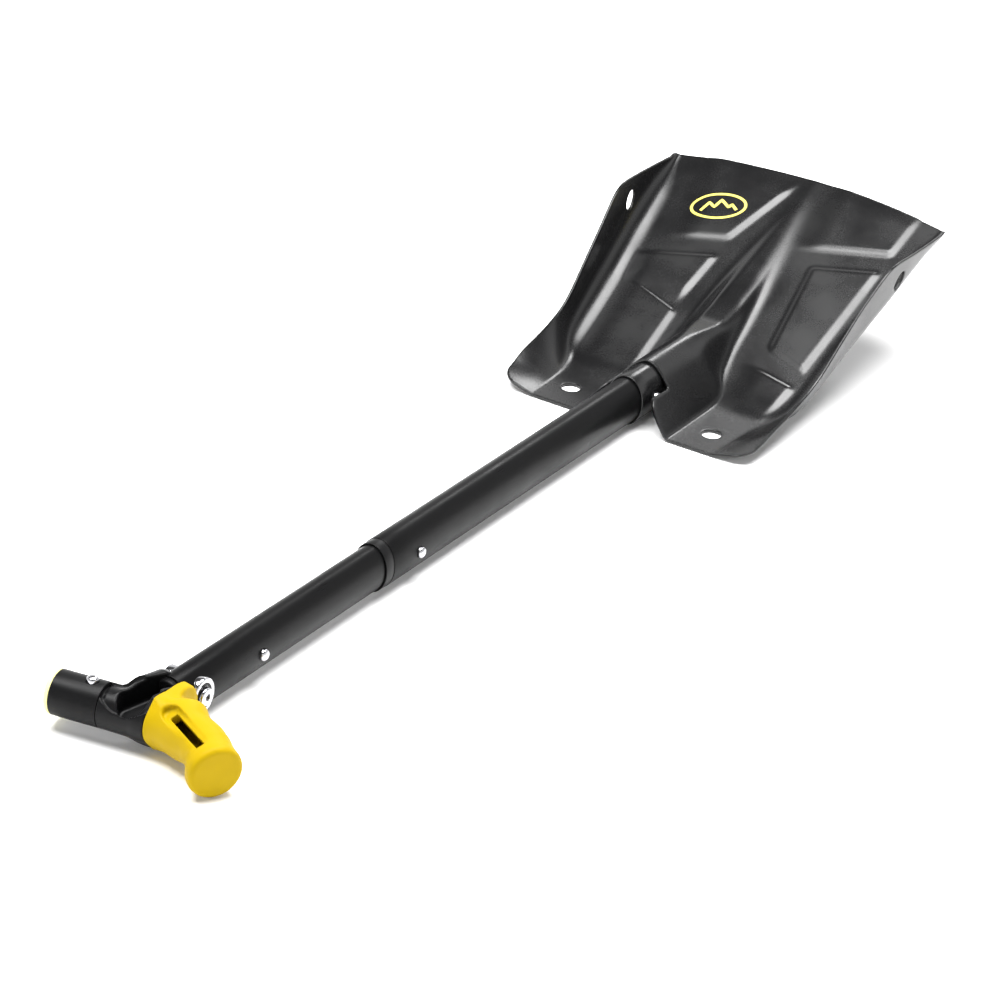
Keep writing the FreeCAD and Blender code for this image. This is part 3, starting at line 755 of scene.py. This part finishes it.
def make_emblem():
    """An oval ring round a plain mountain line."""
    ring = [(EMBLEM_HALF_WIDTH * math.cos(t), EMBLEM_HALF_HEIGHT * math.sin(t))
            for t in np.linspace(0, 2 * math.pi, 96, endpoint=False)]
    fine = []
    for (x1, y1), (x2, y2) in zip(PEAKS, PEAKS[1:]):
        fine += [(x1 + (x2 - x1) * t, y1 + (y2 - y1) * t)
                 for t in np.linspace(0, 1, 8, endpoint=False)]
    fine.append(PEAKS[-1])
    vertices, faces = joined(printed(ring, RING_LINE, True, EMBLEM_CENTRE, EMBLEM_TURN),
                             printed(fine, PEAK_LINE, False, EMBLEM_CENTRE, EMBLEM_TURN))
    new_piece("blade_emblem", vertices, faces, PRINT, "blade_assembly")


# ---- Shaft

ALONG, ACROSS, UP = (0, 1, 0), (1, 0, 0), (0, 0, 1)
SHAFT_CENTRE = (0, 0, 0)
# Half the width and half the height of each tube
OVAL = {"upper": (13.5, 18.0), "lower": (12.0, 16.5), "socket": (15.0, 19.5)}
TUBE_WALL = 1.2
COLLAR_WALL = 0.9
PLUG_FIT, PLUG_FLANGE = 0.2, 3.0
BUTTON_Y = {"blade": 20.0, "extend": -294.0, "collapse": -471.0}
BUTTON_HOLE = 4.2
BUTTON_RADIUS, BUTTON_DOME, BUTTON_STAND = 3.9, 2.34, 3.3
FLANGE_RADIUS, FLANGE = 5.2, 1.0
RING_FROM_HOLE = 7.0
BOLT_Y = -535.0


def oval_tube(name, section, wall, start, end, material, body, replaced, lip=0.45, rings=()):
    """An oval tube with rounded lips and extra rings beside its holes."""
    half_width, half_height = section
    r, i = half_width, half_width - wall
    profile = arc((i + lip, start + lip), lip, 180, 270, 4)
    profile += arc((r - lip, start + lip), lip, 270, 360, 4)
    profile += [(r, y) for y in rings]
    profile += arc((r - lip, end - lip), lip, 0, 90, 4)
    profile += arc((i + lip, end - lip), lip, 90, 180, 4)
    profile += [(i, y) for y in reversed(rings)]
    vertices, faces = turned(profile, ALONG, SHAFT_CENTRE, 128, half_height - half_width, True)
    return new_piece(name, vertices, faces, material, body, replaced)


def drilled_tube(name, node, section, material, body, *buttons):
    """An oval tube of the shaft with a hole for each named button."""
    low, high = drawn(node)
    places = [BUTTON_Y[button] for button in buttons]
    rings = sorted(y + offset for y in places for offset in (-RING_FROM_HOLE, RING_FROM_HOLE))
    tube = oval_tube(name, OVAL[section], TUBE_WALL, low.y, high.y, material, body,
                     [node], rings=rings)
    bored(tube, ACROSS, [(0, y, 0) for y in places], BUTTON_HOLE)


def make_plug(name, node, body):
    """A plug with a flange in a tube's end."""
    low, high = drawn(node)
    flange_y = high.y - PLUG_FLANGE
    r = high.x
    stem = r - TUBE_WALL - PLUG_FIT
    profile = arc((stem - 1, low.y + 1), 1, 270, 360, 4) + [(stem, flange_y), (r - 0.3, flange_y)]
    profile += [(r, flange_y + 0.3)] + arc((r - 1, high.y - 1), 1, 0, 90, 4)
    vertices, faces = turned(profile, ALONG, SHAFT_CENTRE, 96, high.z - high.x)
    new_piece(name, vertices, faces, BLACK_PLASTIC, body, [node])


def make_shaft():
    drilled_tube("upper_shaft_tube", "upper_tube", "upper", BLACK_TUBE, "upper_shaft",
                 "extend", "blade")
    drilled_tube("lower_shaft_tube", "lower_tube", "lower", BLACK_TUBE, "lower_shaft",
                 "collapse", "extend")
    drilled_tube("blade_socket", "socket_tube", "socket", BLACK_BLADE, "blade_assembly", "blade")
    low, high = drawn("mouth_collar")
    oval_tube("shaft_mouth_collar", (high.x, high.z), COLLAR_WALL, low.y, high.y, BLACK_PLASTIC,
              "upper_shaft", ["mouth_collar"], 0.35)
    make_plug("inner_tube_guide", "lower_tube_guide", "lower_shaft")
    make_plug("blade_end_plug", "upper_tube_plug", "upper_shaft")


def button_parts(proud, inner, leaf_sign, leaf_length=31.0):
    """A snap button along +X from the shaft's axis: head, flange and spring leaf."""
    shoulder = proud - BUTTON_DOME
    profile = [(FLANGE_RADIUS, inner - FLANGE), (FLANGE_RADIUS, inner),
               (BUTTON_RADIUS, inner), (BUTTON_RADIUS, shoulder)]
    profile += [(BUTTON_RADIUS * math.cos(t), shoulder + BUTTON_DOME * math.sin(t))
                for t in np.linspace(0.15, math.pi / 2 - 0.12, 9)]
    head = turned(profile, ACROSS, SHAFT_CENTRE, 48)
    near_end, far = -3.0 * leaf_sign, leaf_length * leaf_sign
    leaf_low, leaf_high = sorted((near_end, far))
    fold_low, fold_high = sorted((far, far - 0.8 * leaf_sign))
    leaf = box_mesh((inner - 1.8, leaf_low, -3), (inner - 0.95, leaf_high, 3))
    fold = box_mesh((inner - 7.0, fold_low, -2.9), (inner - 1.1, fold_high, 2.9))
    return joined(head, leaf, fold)


def make_buttons():
    """The shaft's three buttons; each stands proud of one tube and is held in another."""
    for name, outer, holder, leaf_sign in (("extend", "upper", "lower", -1),
                                           ("collapse", "lower", "lower", 1),
                                           ("blade", "socket", "upper", 1)):
        inner = OVAL[holder][0] - TUBE_WALL - FLANGE
        vertices, faces = button_parts(OVAL[outer][0] + BUTTON_STAND, inner, leaf_sign)
        vertices = [Vector(v) + Vector((0, BUTTON_Y[name], 0)) for v in vertices]
        new_piece(name + "_snap_button", vertices, faces, STEEL, name + "_button",
                  ["snap_button_" + name])


# ---- T-grip

BAR_Y = -576.5
HUB = np.array((0.0, BAR_Y, 0.0))
LEFT_SWEEP = math.radians(10)
LEFT = np.array((-math.cos(LEFT_SWEEP), -math.sin(LEFT_SWEEP), 0.0))
ELBOW = np.array((27.0, -573.0, 0.0))
RIGHT_END = np.array((69.0, -598.5, -3.0))
RIGHT_LENGTH = float(np.linalg.norm(RIGHT_END - ELBOW))
RIGHT = (RIGHT_END - ELBOW) / RIGHT_LENGTH
ARM_RADIUS = 14.5
SEAM_AT, ARM_END_AT = 26.0, 58.5
TUBE_END_Y = -552.0
YELLOW_FROM_X = 8.3
PARTING_GAP = 0.15
NECK = (13.6, 17.2)
NECK_INSERT = (10.6, 15.1)
SPIGOT_RADIUS, SPIGOT_BORE = 11.4, 8.6
SLEEVE_BORE = 11.7
SLEEVE_START = SEAM_AT + 0.35
GRIP_BUTTON_AT = 35.5
GRIP_BUTTON_PLACE = Vector(HUB) + Vector(LEFT) * GRIP_BUTTON_AT
BOLT_HOLE = 3.2
GRIP_STEP = 0.75
GRIP_SHARP = math.radians(50)

WAIST_SHIFT = np.array((1.7, 1.9, 1.6))
SHOULDER_START = np.array((-6.0, -549.0, 7.0))
SHOULDER_END = np.array((-9.5, -570.0, 9.0))
SHOULDER_RADIUS = 10.0


def right_radius(run):
    """The yellow arm: a waist, then a flare at its end."""
    return 15.6 - 0.8 * smooth_step((run - 10) / 16) + 2.2 * smooth_step((run - 32) / 13)


def arm_straightened(points):
    """Points moved so that the yellow arm's axis, which is lifted at the waist, is straight."""
    run = (points - ELBOW) @ RIGHT
    lift = smooth_step((run - 6) / 18) * (1 - smooth_step((run - 30) / 14))
    return points - lift[:, None] * WAIST_SHIFT


def grip_envelope(points):
    """The whole grip's outside: neck, bar and the web between them."""
    neck = oval_bar(points, *NECK, BAR_Y, TUBE_END_Y, 1.0)
    left = round_bar(points, HUB, LEFT, ARM_RADIUS, -6, SEAM_AT, 0.6)
    elbow_run = float(np.linalg.norm(ELBOW - HUB))
    middle = round_bar(points, HUB, (ELBOW - HUB) / elbow_run, 14.6, -4, elbow_run + 4, 5.0)
    right = round_bar(arm_straightened(points), ELBOW, RIGHT, right_radius, -6, RIGHT_LENGTH, 4.0)
    bar = blend_union(blend_union(left, middle, 2.0), right, 9.0)
    length = float(np.linalg.norm(SHOULDER_END - SHOULDER_START))
    shoulder = round_bar(points, SHOULDER_START, (SHOULDER_END - SHOULDER_START) / length,
                         SHOULDER_RADIUS, -6, length + 4, 8.0)
    return blend_union(blend_union(bar, neck, 12.0), shoulder, 6.0)


def ellipsoid(points, centre, radii):
    """Roughly the distance to an ellipsoid."""
    scaled = np.linalg.norm((points - np.array(centre)) / np.array(radii), axis=1)
    return (scaled - 1) * min(radii)


def thumb_saddle(points, outer):
    """An inset two millimetres deep that wraps over the bar beside the neck."""
    outline = ellipsoid(points, (-9, -581, 17), (19.5, 16.5, 16.5))
    return blend_common(outline, -outer - 2.0, 1.2)


POCKET_START, POCKET_END = np.array((-5.5, -580.5)), np.array((2.5, -551.0))
POCKET_WIDTH, POCKET_TAPER = 10.0, 5.5
POCKET_FLOOR, POCKET_SLOPE = -1.0, 0.20
def web_pocket(points):
    """A deep pocket in the web, from the bar's front up along the neck, narrowing upwards."""
    start, end = POCKET_START, POCKET_END
    length = float(np.linalg.norm(end - start))
    forward = (end - start) / length
    offset = points[:, :2] - start
    run = np.clip(offset @ forward, 0, length)
    width = POCKET_WIDTH - POCKET_TAPER * run / length
    edge = np.linalg.norm(offset - run[:, None] * forward, axis=1) - width
    floor = POCKET_FLOOR + POCKET_SLOPE * (points[:, 1] - BAR_Y)
    return blend_common(edge, floor - points[:, 2], 3.0)


def black_grip(points):
    """Distance to the black moulding: the grip's left part, its insert and its spigot."""
    outer = grip_envelope(points)
    outer = blend_cut(outer, thumb_saddle(points, outer), 1.0)
    outer = blend_cut(outer, web_pocket(points), 1.6)
    outer = blend_common(outer, points[:, 0] - YELLOW_FROM_X + PARTING_GAP, 0.6)
    insert = oval_bar(points, *NECK_INSERT, -556.0, -508.0, 1.0)
    spigot = round_bar(points, HUB, LEFT, SPIGOT_RADIUS, 20, 56.5, 1.0)
    body = np.minimum(np.minimum(outer, insert), spigot)
    bore = round_bar(points, HUB, LEFT, SPIGOT_BORE, 18.5, 63, 0.5)
    bolt_bore = round_bar(points, (0, BOLT_Y, 0), ACROSS, BOLT_HOLE, -40, 40, 0.3)
    button_at = HUB + LEFT * GRIP_BUTTON_AT
    button_bore = round_bar(points, button_at, UP, BUTTON_HOLE, 0, 20, 0.3)
    for hole in (bore, bolt_bore, button_bore):
        body = blend_cut(body, hole, 0.5)
    return body


LOBE = (7.5, -557.6, 2.0)
LOBE_RADIUS, LOBE_LENGTH = 14.4, 8.0
SLOT_RUN, SLOT_WIDTH, SLOT_TURN = (2.0, 38.0), 5.2, math.radians(30)
# How far across the slot runs in a millimetre, and how far its floor is from the arm's axis
SLOT_SLANT, SLOT_FLOOR = 0.083, 5.0
RECESS_RADIUS, RECESS_FLOOR = 5.6, 14.6
CORE_RADIUS = 8.5
NECK_CORE = (12.1, 16.6)


def yellow_grip(points):
    """Distance to the yellow moulding: the right arm with its slot, and the lobe beside the neck."""
    lobe = round_bar(points, LOBE, ACROSS, LOBE_RADIUS, 0, LOBE_LENGTH, 2.5)
    outer = blend_union(grip_envelope(points) - 0.5, lobe, 6.0)
    run, offset = along_axis(points, ELBOW, RIGHT)
    lifted = along_axis(arm_straightened(points), ELBOW, RIGHT)[1]
    front = np.cross((0, 0, 1), RIGHT) * -1
    front /= np.linalg.norm(front)
    top = np.cross(front, RIGHT)
    top *= np.sign(top[2])
    side, up = offset @ front, offset @ top
    outward = lifted @ top * math.cos(SLOT_TURN) + lifted @ front * math.sin(SLOT_TURN)
    middle = (SLOT_RUN[0] + SLOT_RUN[1]) / 2
    half = (SLOT_RUN[1] - SLOT_RUN[0]) / 2
    across = side * math.cos(SLOT_TURN) - up * math.sin(SLOT_TURN) + SLOT_SLANT * (run - middle)
    slot = np.maximum(np.maximum(np.abs(run - middle) - half, np.abs(across) - SLOT_WIDTH / 2),
                      SLOT_FLOOR - outward)
    beyond = np.maximum(np.abs(run - middle + 3) - half + 2, 0)
    recess = blend_common(np.hypot(beyond, across) - RECESS_RADIUS, RECESS_FLOOR - outward, 2.0)
    outer = blend_cut(outer, recess, 1.6)
    outer = blend_cut(outer, slot, 0.5)
    outer = blend_common(outer, YELLOW_FROM_X + PARTING_GAP - points[:, 0], 1.6)
    core = round_bar(arm_straightened(points), ELBOW, RIGHT, CORE_RADIUS, -30, RIGHT_LENGTH - 4, 0.3)
    neck_core = oval_bar(points, *NECK_CORE, -556.2, -500.0, 0.3)
    return blend_cut(outer, np.minimum(core, neck_core), 0.3)


def make_grip():
    vertices, faces = moulded(black_grip, (-61, -600, -20), (20, -505, 20), GRIP_STEP)
    new_piece("black_grip_body", vertices, faces, BLACK_PLASTIC, "lower_shaft",
              ["grip_body"], GRIP_SHARP)
    vertices, faces = moulded(yellow_grip, (5, -616, -24), (78, -540, 22), GRIP_STEP)
    new_piece("yellow_grip_moulding", vertices, faces, YELLOW, "lower_shaft",
              ["yellow_grip"], GRIP_SHARP)


def make_left_end():
    """The sleeve that pulls off the spigot, and the cap in its end."""
    r, inner = ARM_RADIUS, SLEEVE_BORE
    lip = 0.5
    profile = arc((inner + lip, SLEEVE_START + lip), lip, 180, 270, 4)
    profile += arc((r - lip, SLEEVE_START + lip), lip, 270, 360, 4)
    profile += [(r, ARM_END_AT - 0.3), (r - 0.3, ARM_END_AT), (inner, ARM_END_AT)]
    vertices, faces = turned(profile, LEFT, HUB, 96, closed=True)
    sleeve = new_piece("left_end_sleeve", vertices, faces, BLACK_PLASTIC, "left_end",
                       ["left_grip_sleeve"])
    bored(sleeve, UP, [GRIP_BUTTON_PLACE], BUTTON_HOLE)

    dome = 2.6
    profile = [(r - 0.4, ARM_END_AT + 0.05), (r, ARM_END_AT + 0.5), (r, ARM_END_AT + 1.0)]
    profile += arc((r - dome, ARM_END_AT + 1.2), dome, 10, 80, 7)
    profile += [(r - 5.0, ARM_END_AT + 4.0), (4.0, ARM_END_AT + 4.2)]
    vertices, faces = turned(profile, LEFT, HUB, 96)
    new_piece("left_end_yellow_cap", vertices, faces, PALE_YELLOW, "left_end",
              ["left_end_cap"])


def make_grip_button():
    """The grip's button: it points up, and its leaf lies in the spigot's bore."""
    vertices, faces = button_parts(ARM_RADIUS + BUTTON_STAND, SPIGOT_BORE - 2.0, 1, 16.0)
    turn = Matrix.Rotation(LEFT_SWEEP, 3, "Z") @ Matrix(((0, 1, 0), (0, 0, 1), (1, 0, 0)))
    vertices = [GRIP_BUTTON_PLACE + turn @ Vector(v) for v in vertices]
    new_piece("grip_snap_button", vertices, faces, STEEL, "grip_button",
              ["snap_button_grip"])


# ---- Cross bolt with cupped washers

WASHER_STRETCH = 1.17
SEAT = OVAL["lower"][0] + 1.0
BOLT_RADIUS = 3.0
HEAD_RADIUS, HEAD_LENGTH, HEAD_ROUND = 6.0, 3.5, 1.4
KEY_ACROSS_FLATS, KEY_DEPTH = 4.0, 2.0
BOLT_SEGMENTS = 72


def saddle_cup(side):
    """A cupped washer: its foot follows the oval tube, its rim is round and polished."""
    angles = np.linspace(0, 2 * math.pi, BOLT_SEGMENTS, endpoint=False)
    face_x = OVAL["lower"][0] + 2.0
    half_width, half_height = OVAL["lower"]
    profile = [(10.1, None), (10.5, face_x - 1.2), (10.2, face_x - 0.4), (9.5, face_x),
               (8.4, face_x), (7.5, face_x - 0.35), (7.0, face_x - 0.95), (3.2, face_x - 1.0),
               (3.2, None)]
    vertices = []
    for radius, x in profile:
        for angle in angles:
            y, z = radius * math.cos(angle), radius * WASHER_STRETCH * math.sin(angle)
            foot = half_width * math.sqrt(1 - (z / half_height) ** 2) + 0.02
            vertices.append((side * (foot if x is None else max(x, foot)), BOLT_Y + y, z))
    faces = grid_faces(len(profile), BOLT_SEGMENTS, wrap_rows=True)
    return vertices, faces


def make_washers():
    """Both cupped washers, and a dark ring that lies in each cup round the bolt."""
    vertices, faces = joined(saddle_cup(1), saddle_cup(-1))
    new_piece("cupped_saddle_washers", vertices, faces, STEEL, "lower_shaft",
              ["saddle_washers"], math.radians(60))
    # A black ring at the bottom of each cup, round the bolt's head; no CAD part stands behind it.
    profile = [(5.7, SEAT + 0.02), (8.2, SEAT + 0.02), (8.0, SEAT + 0.7), (5.7, SEAT + 0.5)]
    seals = []
    for side in (1, -1):
        vertices, faces = turned(profile, (side, 0, 0), (0, BOLT_Y, 0), BOLT_SEGMENTS, closed=True)
        seals.append(([(v.x, v.y, v.z * WASHER_STRETCH) for v in vertices], faces))
    vertices, faces = joined(*seals)
    new_piece("bolt_cup_dark_rings", vertices, faces, BLACK_PLASTIC, "lower_shaft")


def hexagon(angle):
    """Distance from the key socket's middle to its side in a direction."""
    sector = (angle + math.pi / 6) % (math.pi / 3) - math.pi / 6
    return KEY_ACROSS_FLATS / 2 / math.cos(sector)


def make_bolt():
    top = SEAT + HEAD_LENGTH
    angles = np.linspace(0, 2 * math.pi, BOLT_SEGMENTS, endpoint=False)
    rings = [(BOLT_RADIUS, -SEAT - 1.8), (BOLT_RADIUS, SEAT), (HEAD_RADIUS - 0.4, SEAT),
             (HEAD_RADIUS, SEAT + 0.4), (HEAD_RADIUS, top - HEAD_ROUND)]
    rings += [(HEAD_RADIUS - HEAD_ROUND + HEAD_ROUND * math.cos(t),
               top - HEAD_ROUND + HEAD_ROUND * math.sin(t)) for t in np.linspace(0.3, 1.57, 5)]
    vertices = [(x, BOLT_Y + r * math.cos(a), r * math.sin(a)) for r, x in rings for a in angles]
    socket_rings = ((1.12, top), (1.0, top - 0.25), (1.0, top - KEY_DEPTH))
    for scale, x in socket_rings:
        radii = [scale * hexagon(a) for a in angles]
        vertices += [(x, BOLT_Y + r * math.cos(a), r * math.sin(a)) for r, a in zip(radii, angles)]
    rows = len(rings) + len(socket_rings)
    faces = grid_faces(rows, BOLT_SEGMENTS)
    faces += [tuple(range(BOLT_SEGMENTS)),
              tuple(range((rows - 1) * BOLT_SEGMENTS, rows * BOLT_SEGMENTS))]
    new_piece("grip_cross_bolt", vertices, faces, STEEL, "lower_shaft",
              ["grip_bolt"], math.radians(35))


def make_nut():
    r, bore = HEAD_RADIUS, BOLT_RADIUS + 0.05
    profile = [(bore, SEAT), (r - 0.4, SEAT), (r, SEAT + 0.4), (r, SEAT + 2.4), (5.4, SEAT + 3.0),
               (3.4, SEAT + 3.0), (bore, SEAT + 2.7)]
    vertices, faces = turned(profile, (-1, 0, 0), (0, BOLT_Y, 0), BOLT_SEGMENTS, closed=True)
    new_piece("grip_bolt_nut", vertices, faces, STEEL, "lower_shaft", ["grip_nut"])


BEAD_X, BEAD_Z, BEAD_RADIUS, BEAD_SIDES = 16.0, 3.2, 2.6, 16
RIPPLE_PITCH, RIPPLE_DEPTH, RIPPLE_LAG = 2.4, 0.10, 0.7


def make_welds():
    """Rippled beads under the ridge, along both sides of the socket."""
    low, high = drawn("weld_beads")
    middle, half = (low.y + high.y) / 2, (high.y - low.y) / 2
    places = np.linspace(low.y, high.y, 120)
    parts = []
    for side in (1, -1):
        vertices = []
        for y in places:
            phase = 2 * math.pi * y / RIPPLE_PITCH
            fullness = math.sqrt(max(0.0, 1 - ((y - middle) / half) ** 8))
            radius = BEAD_RADIUS * (1 + RIPPLE_DEPTH * math.sin(phase)) * max(fullness, 0.05)
            lag = RIPPLE_LAG * math.cos(phase)
            for angle in np.linspace(0, 2 * math.pi, BEAD_SIDES, endpoint=False):
                vertices.append((side * (BEAD_X + radius * math.cos(angle)),
                                 min(max(y + lag * math.sin(angle), low.y), high.y),
                                 BEAD_Z + radius * math.sin(angle)))
        faces = grid_faces(len(places), BEAD_SIDES)
        faces += [tuple(range(BEAD_SIDES)),
                  tuple(range(len(vertices) - BEAD_SIDES, len(vertices)))]
        parts.append((vertices, faces))
    vertices, faces = joined(*parts)
    new_piece("socket_weld_beads", vertices, faces, WELD, "blade_assembly", ["weld_beads"],
              math.radians(80))


# ---- Stage: floor, lights and camera

def area_light(name, place_at, aim, size, power):
    """A rectangular softbox that faces its aim."""
    light = bpy.data.lights.new(name, "AREA")
    light.shape = "RECTANGLE"
    light.size, light.size_y = size
    light.energy = power
    item = linked(name, light)
    item.location = place_at
    item.rotation_mode = "QUATERNION"
    item.rotation_quaternion = (Vector(aim) - Vector(place_at)).to_track_quat("-Z", "Y")


FLOOR_HALF, FLOOR_DROP = 2.4, 0.0005


def make_floor():
    mesh = bpy.data.meshes.new("floor")
    corners = [(x * FLOOR_HALF, y * FLOOR_HALF, 0) for x, y in ((-1, -1), (1, -1), (1, 1), (-1, 1))]
    mesh.from_pydata(corners, [], [(0, 1, 2, 3)])
    floor = linked("floor", mesh)
    floor.location.z = -FLOOR_DROP
    material = bpy.data.materials.new("pale_floor")
    material.use_nodes = True
    shader = material.node_tree.nodes["Principled BSDF"]
    shader.inputs["Base Color"].default_value = (0.93, 0.93, 0.93, 1)
    shader.inputs["Roughness"].default_value = 0.9
    shader.inputs["Specular IOR Level"].default_value = 0.1
    mesh.materials.append(material)


def make_world():
    """A white surround that darkens towards the top."""
    world = bpy.data.worlds.new("studio")
    bpy.context.scene.world = world
    world.use_nodes = True
    nodes, links = world.node_tree.nodes, world.node_tree.links
    background = nodes["Background"]
    coordinates = nodes.new("ShaderNodeTexCoord")
    split = nodes.new("ShaderNodeSeparateXYZ")
    links.new(coordinates.outputs["Generated"], split.inputs["Vector"])
    bright = ranged(world.node_tree, split.outputs["Z"], 1.25, 0.08, (0.50, 0.72))
    bright.node.interpolation_type = "SMOOTHSTEP"
    links.new(bright, background.inputs["Strength"])
    background.inputs["Color"].default_value = (1, 1, 1, 1)


def make_lights():
    area_light("overhead_softbox", (0.20, 0.30, 2.3), (0, 0.2, 0), (1.15, 1.6), 120)
    area_light("back_softbox", (-0.50, 2.35, 1.75), (0, 0.0, 0), (0.55, 0.5), 14)
    area_light("front_softbox", (-0.66, -0.80, 2.20), (0, 0.2, 0), (0.85, 0.85), 60)


AIM = Vector(place((-77.55, -33.90, -94.90)))
AZIMUTH, ELEVATION, ROLL = math.radians(29.585), math.radians(27.047), math.radians(5.009)
DISTANCE = 2.5327
LENS = 122.4


def make_camera():
    camera = bpy.data.cameras.new("camera")
    camera.lens = LENS
    camera.sensor_width = 36.0
    camera.clip_end = 100.0
    item = linked("camera", camera)
    back = Vector((math.sin(AZIMUTH) * math.cos(ELEVATION),
                   -math.cos(AZIMUTH) * math.cos(ELEVATION), math.sin(ELEVATION)))
    item.location = AIM + back * DISTANCE
    item.rotation_mode = "QUATERNION"
    item.rotation_quaternion = (-back).to_track_quat("-Z", "Y") @ Quaternion((0, 0, 1), ROLL)
    bpy.context.scene.camera = item


make_blade()
make_emblem()
make_shaft()
make_buttons()
make_grip()
make_left_end()
make_grip_button()
make_washers()
make_bolt()
make_nut()
make_welds()
make_floor()
make_world()
make_lights()
make_camera()
bpy.context.scene.view_settings.view_transform = "Standard"

bpy.context.view_layer.update()
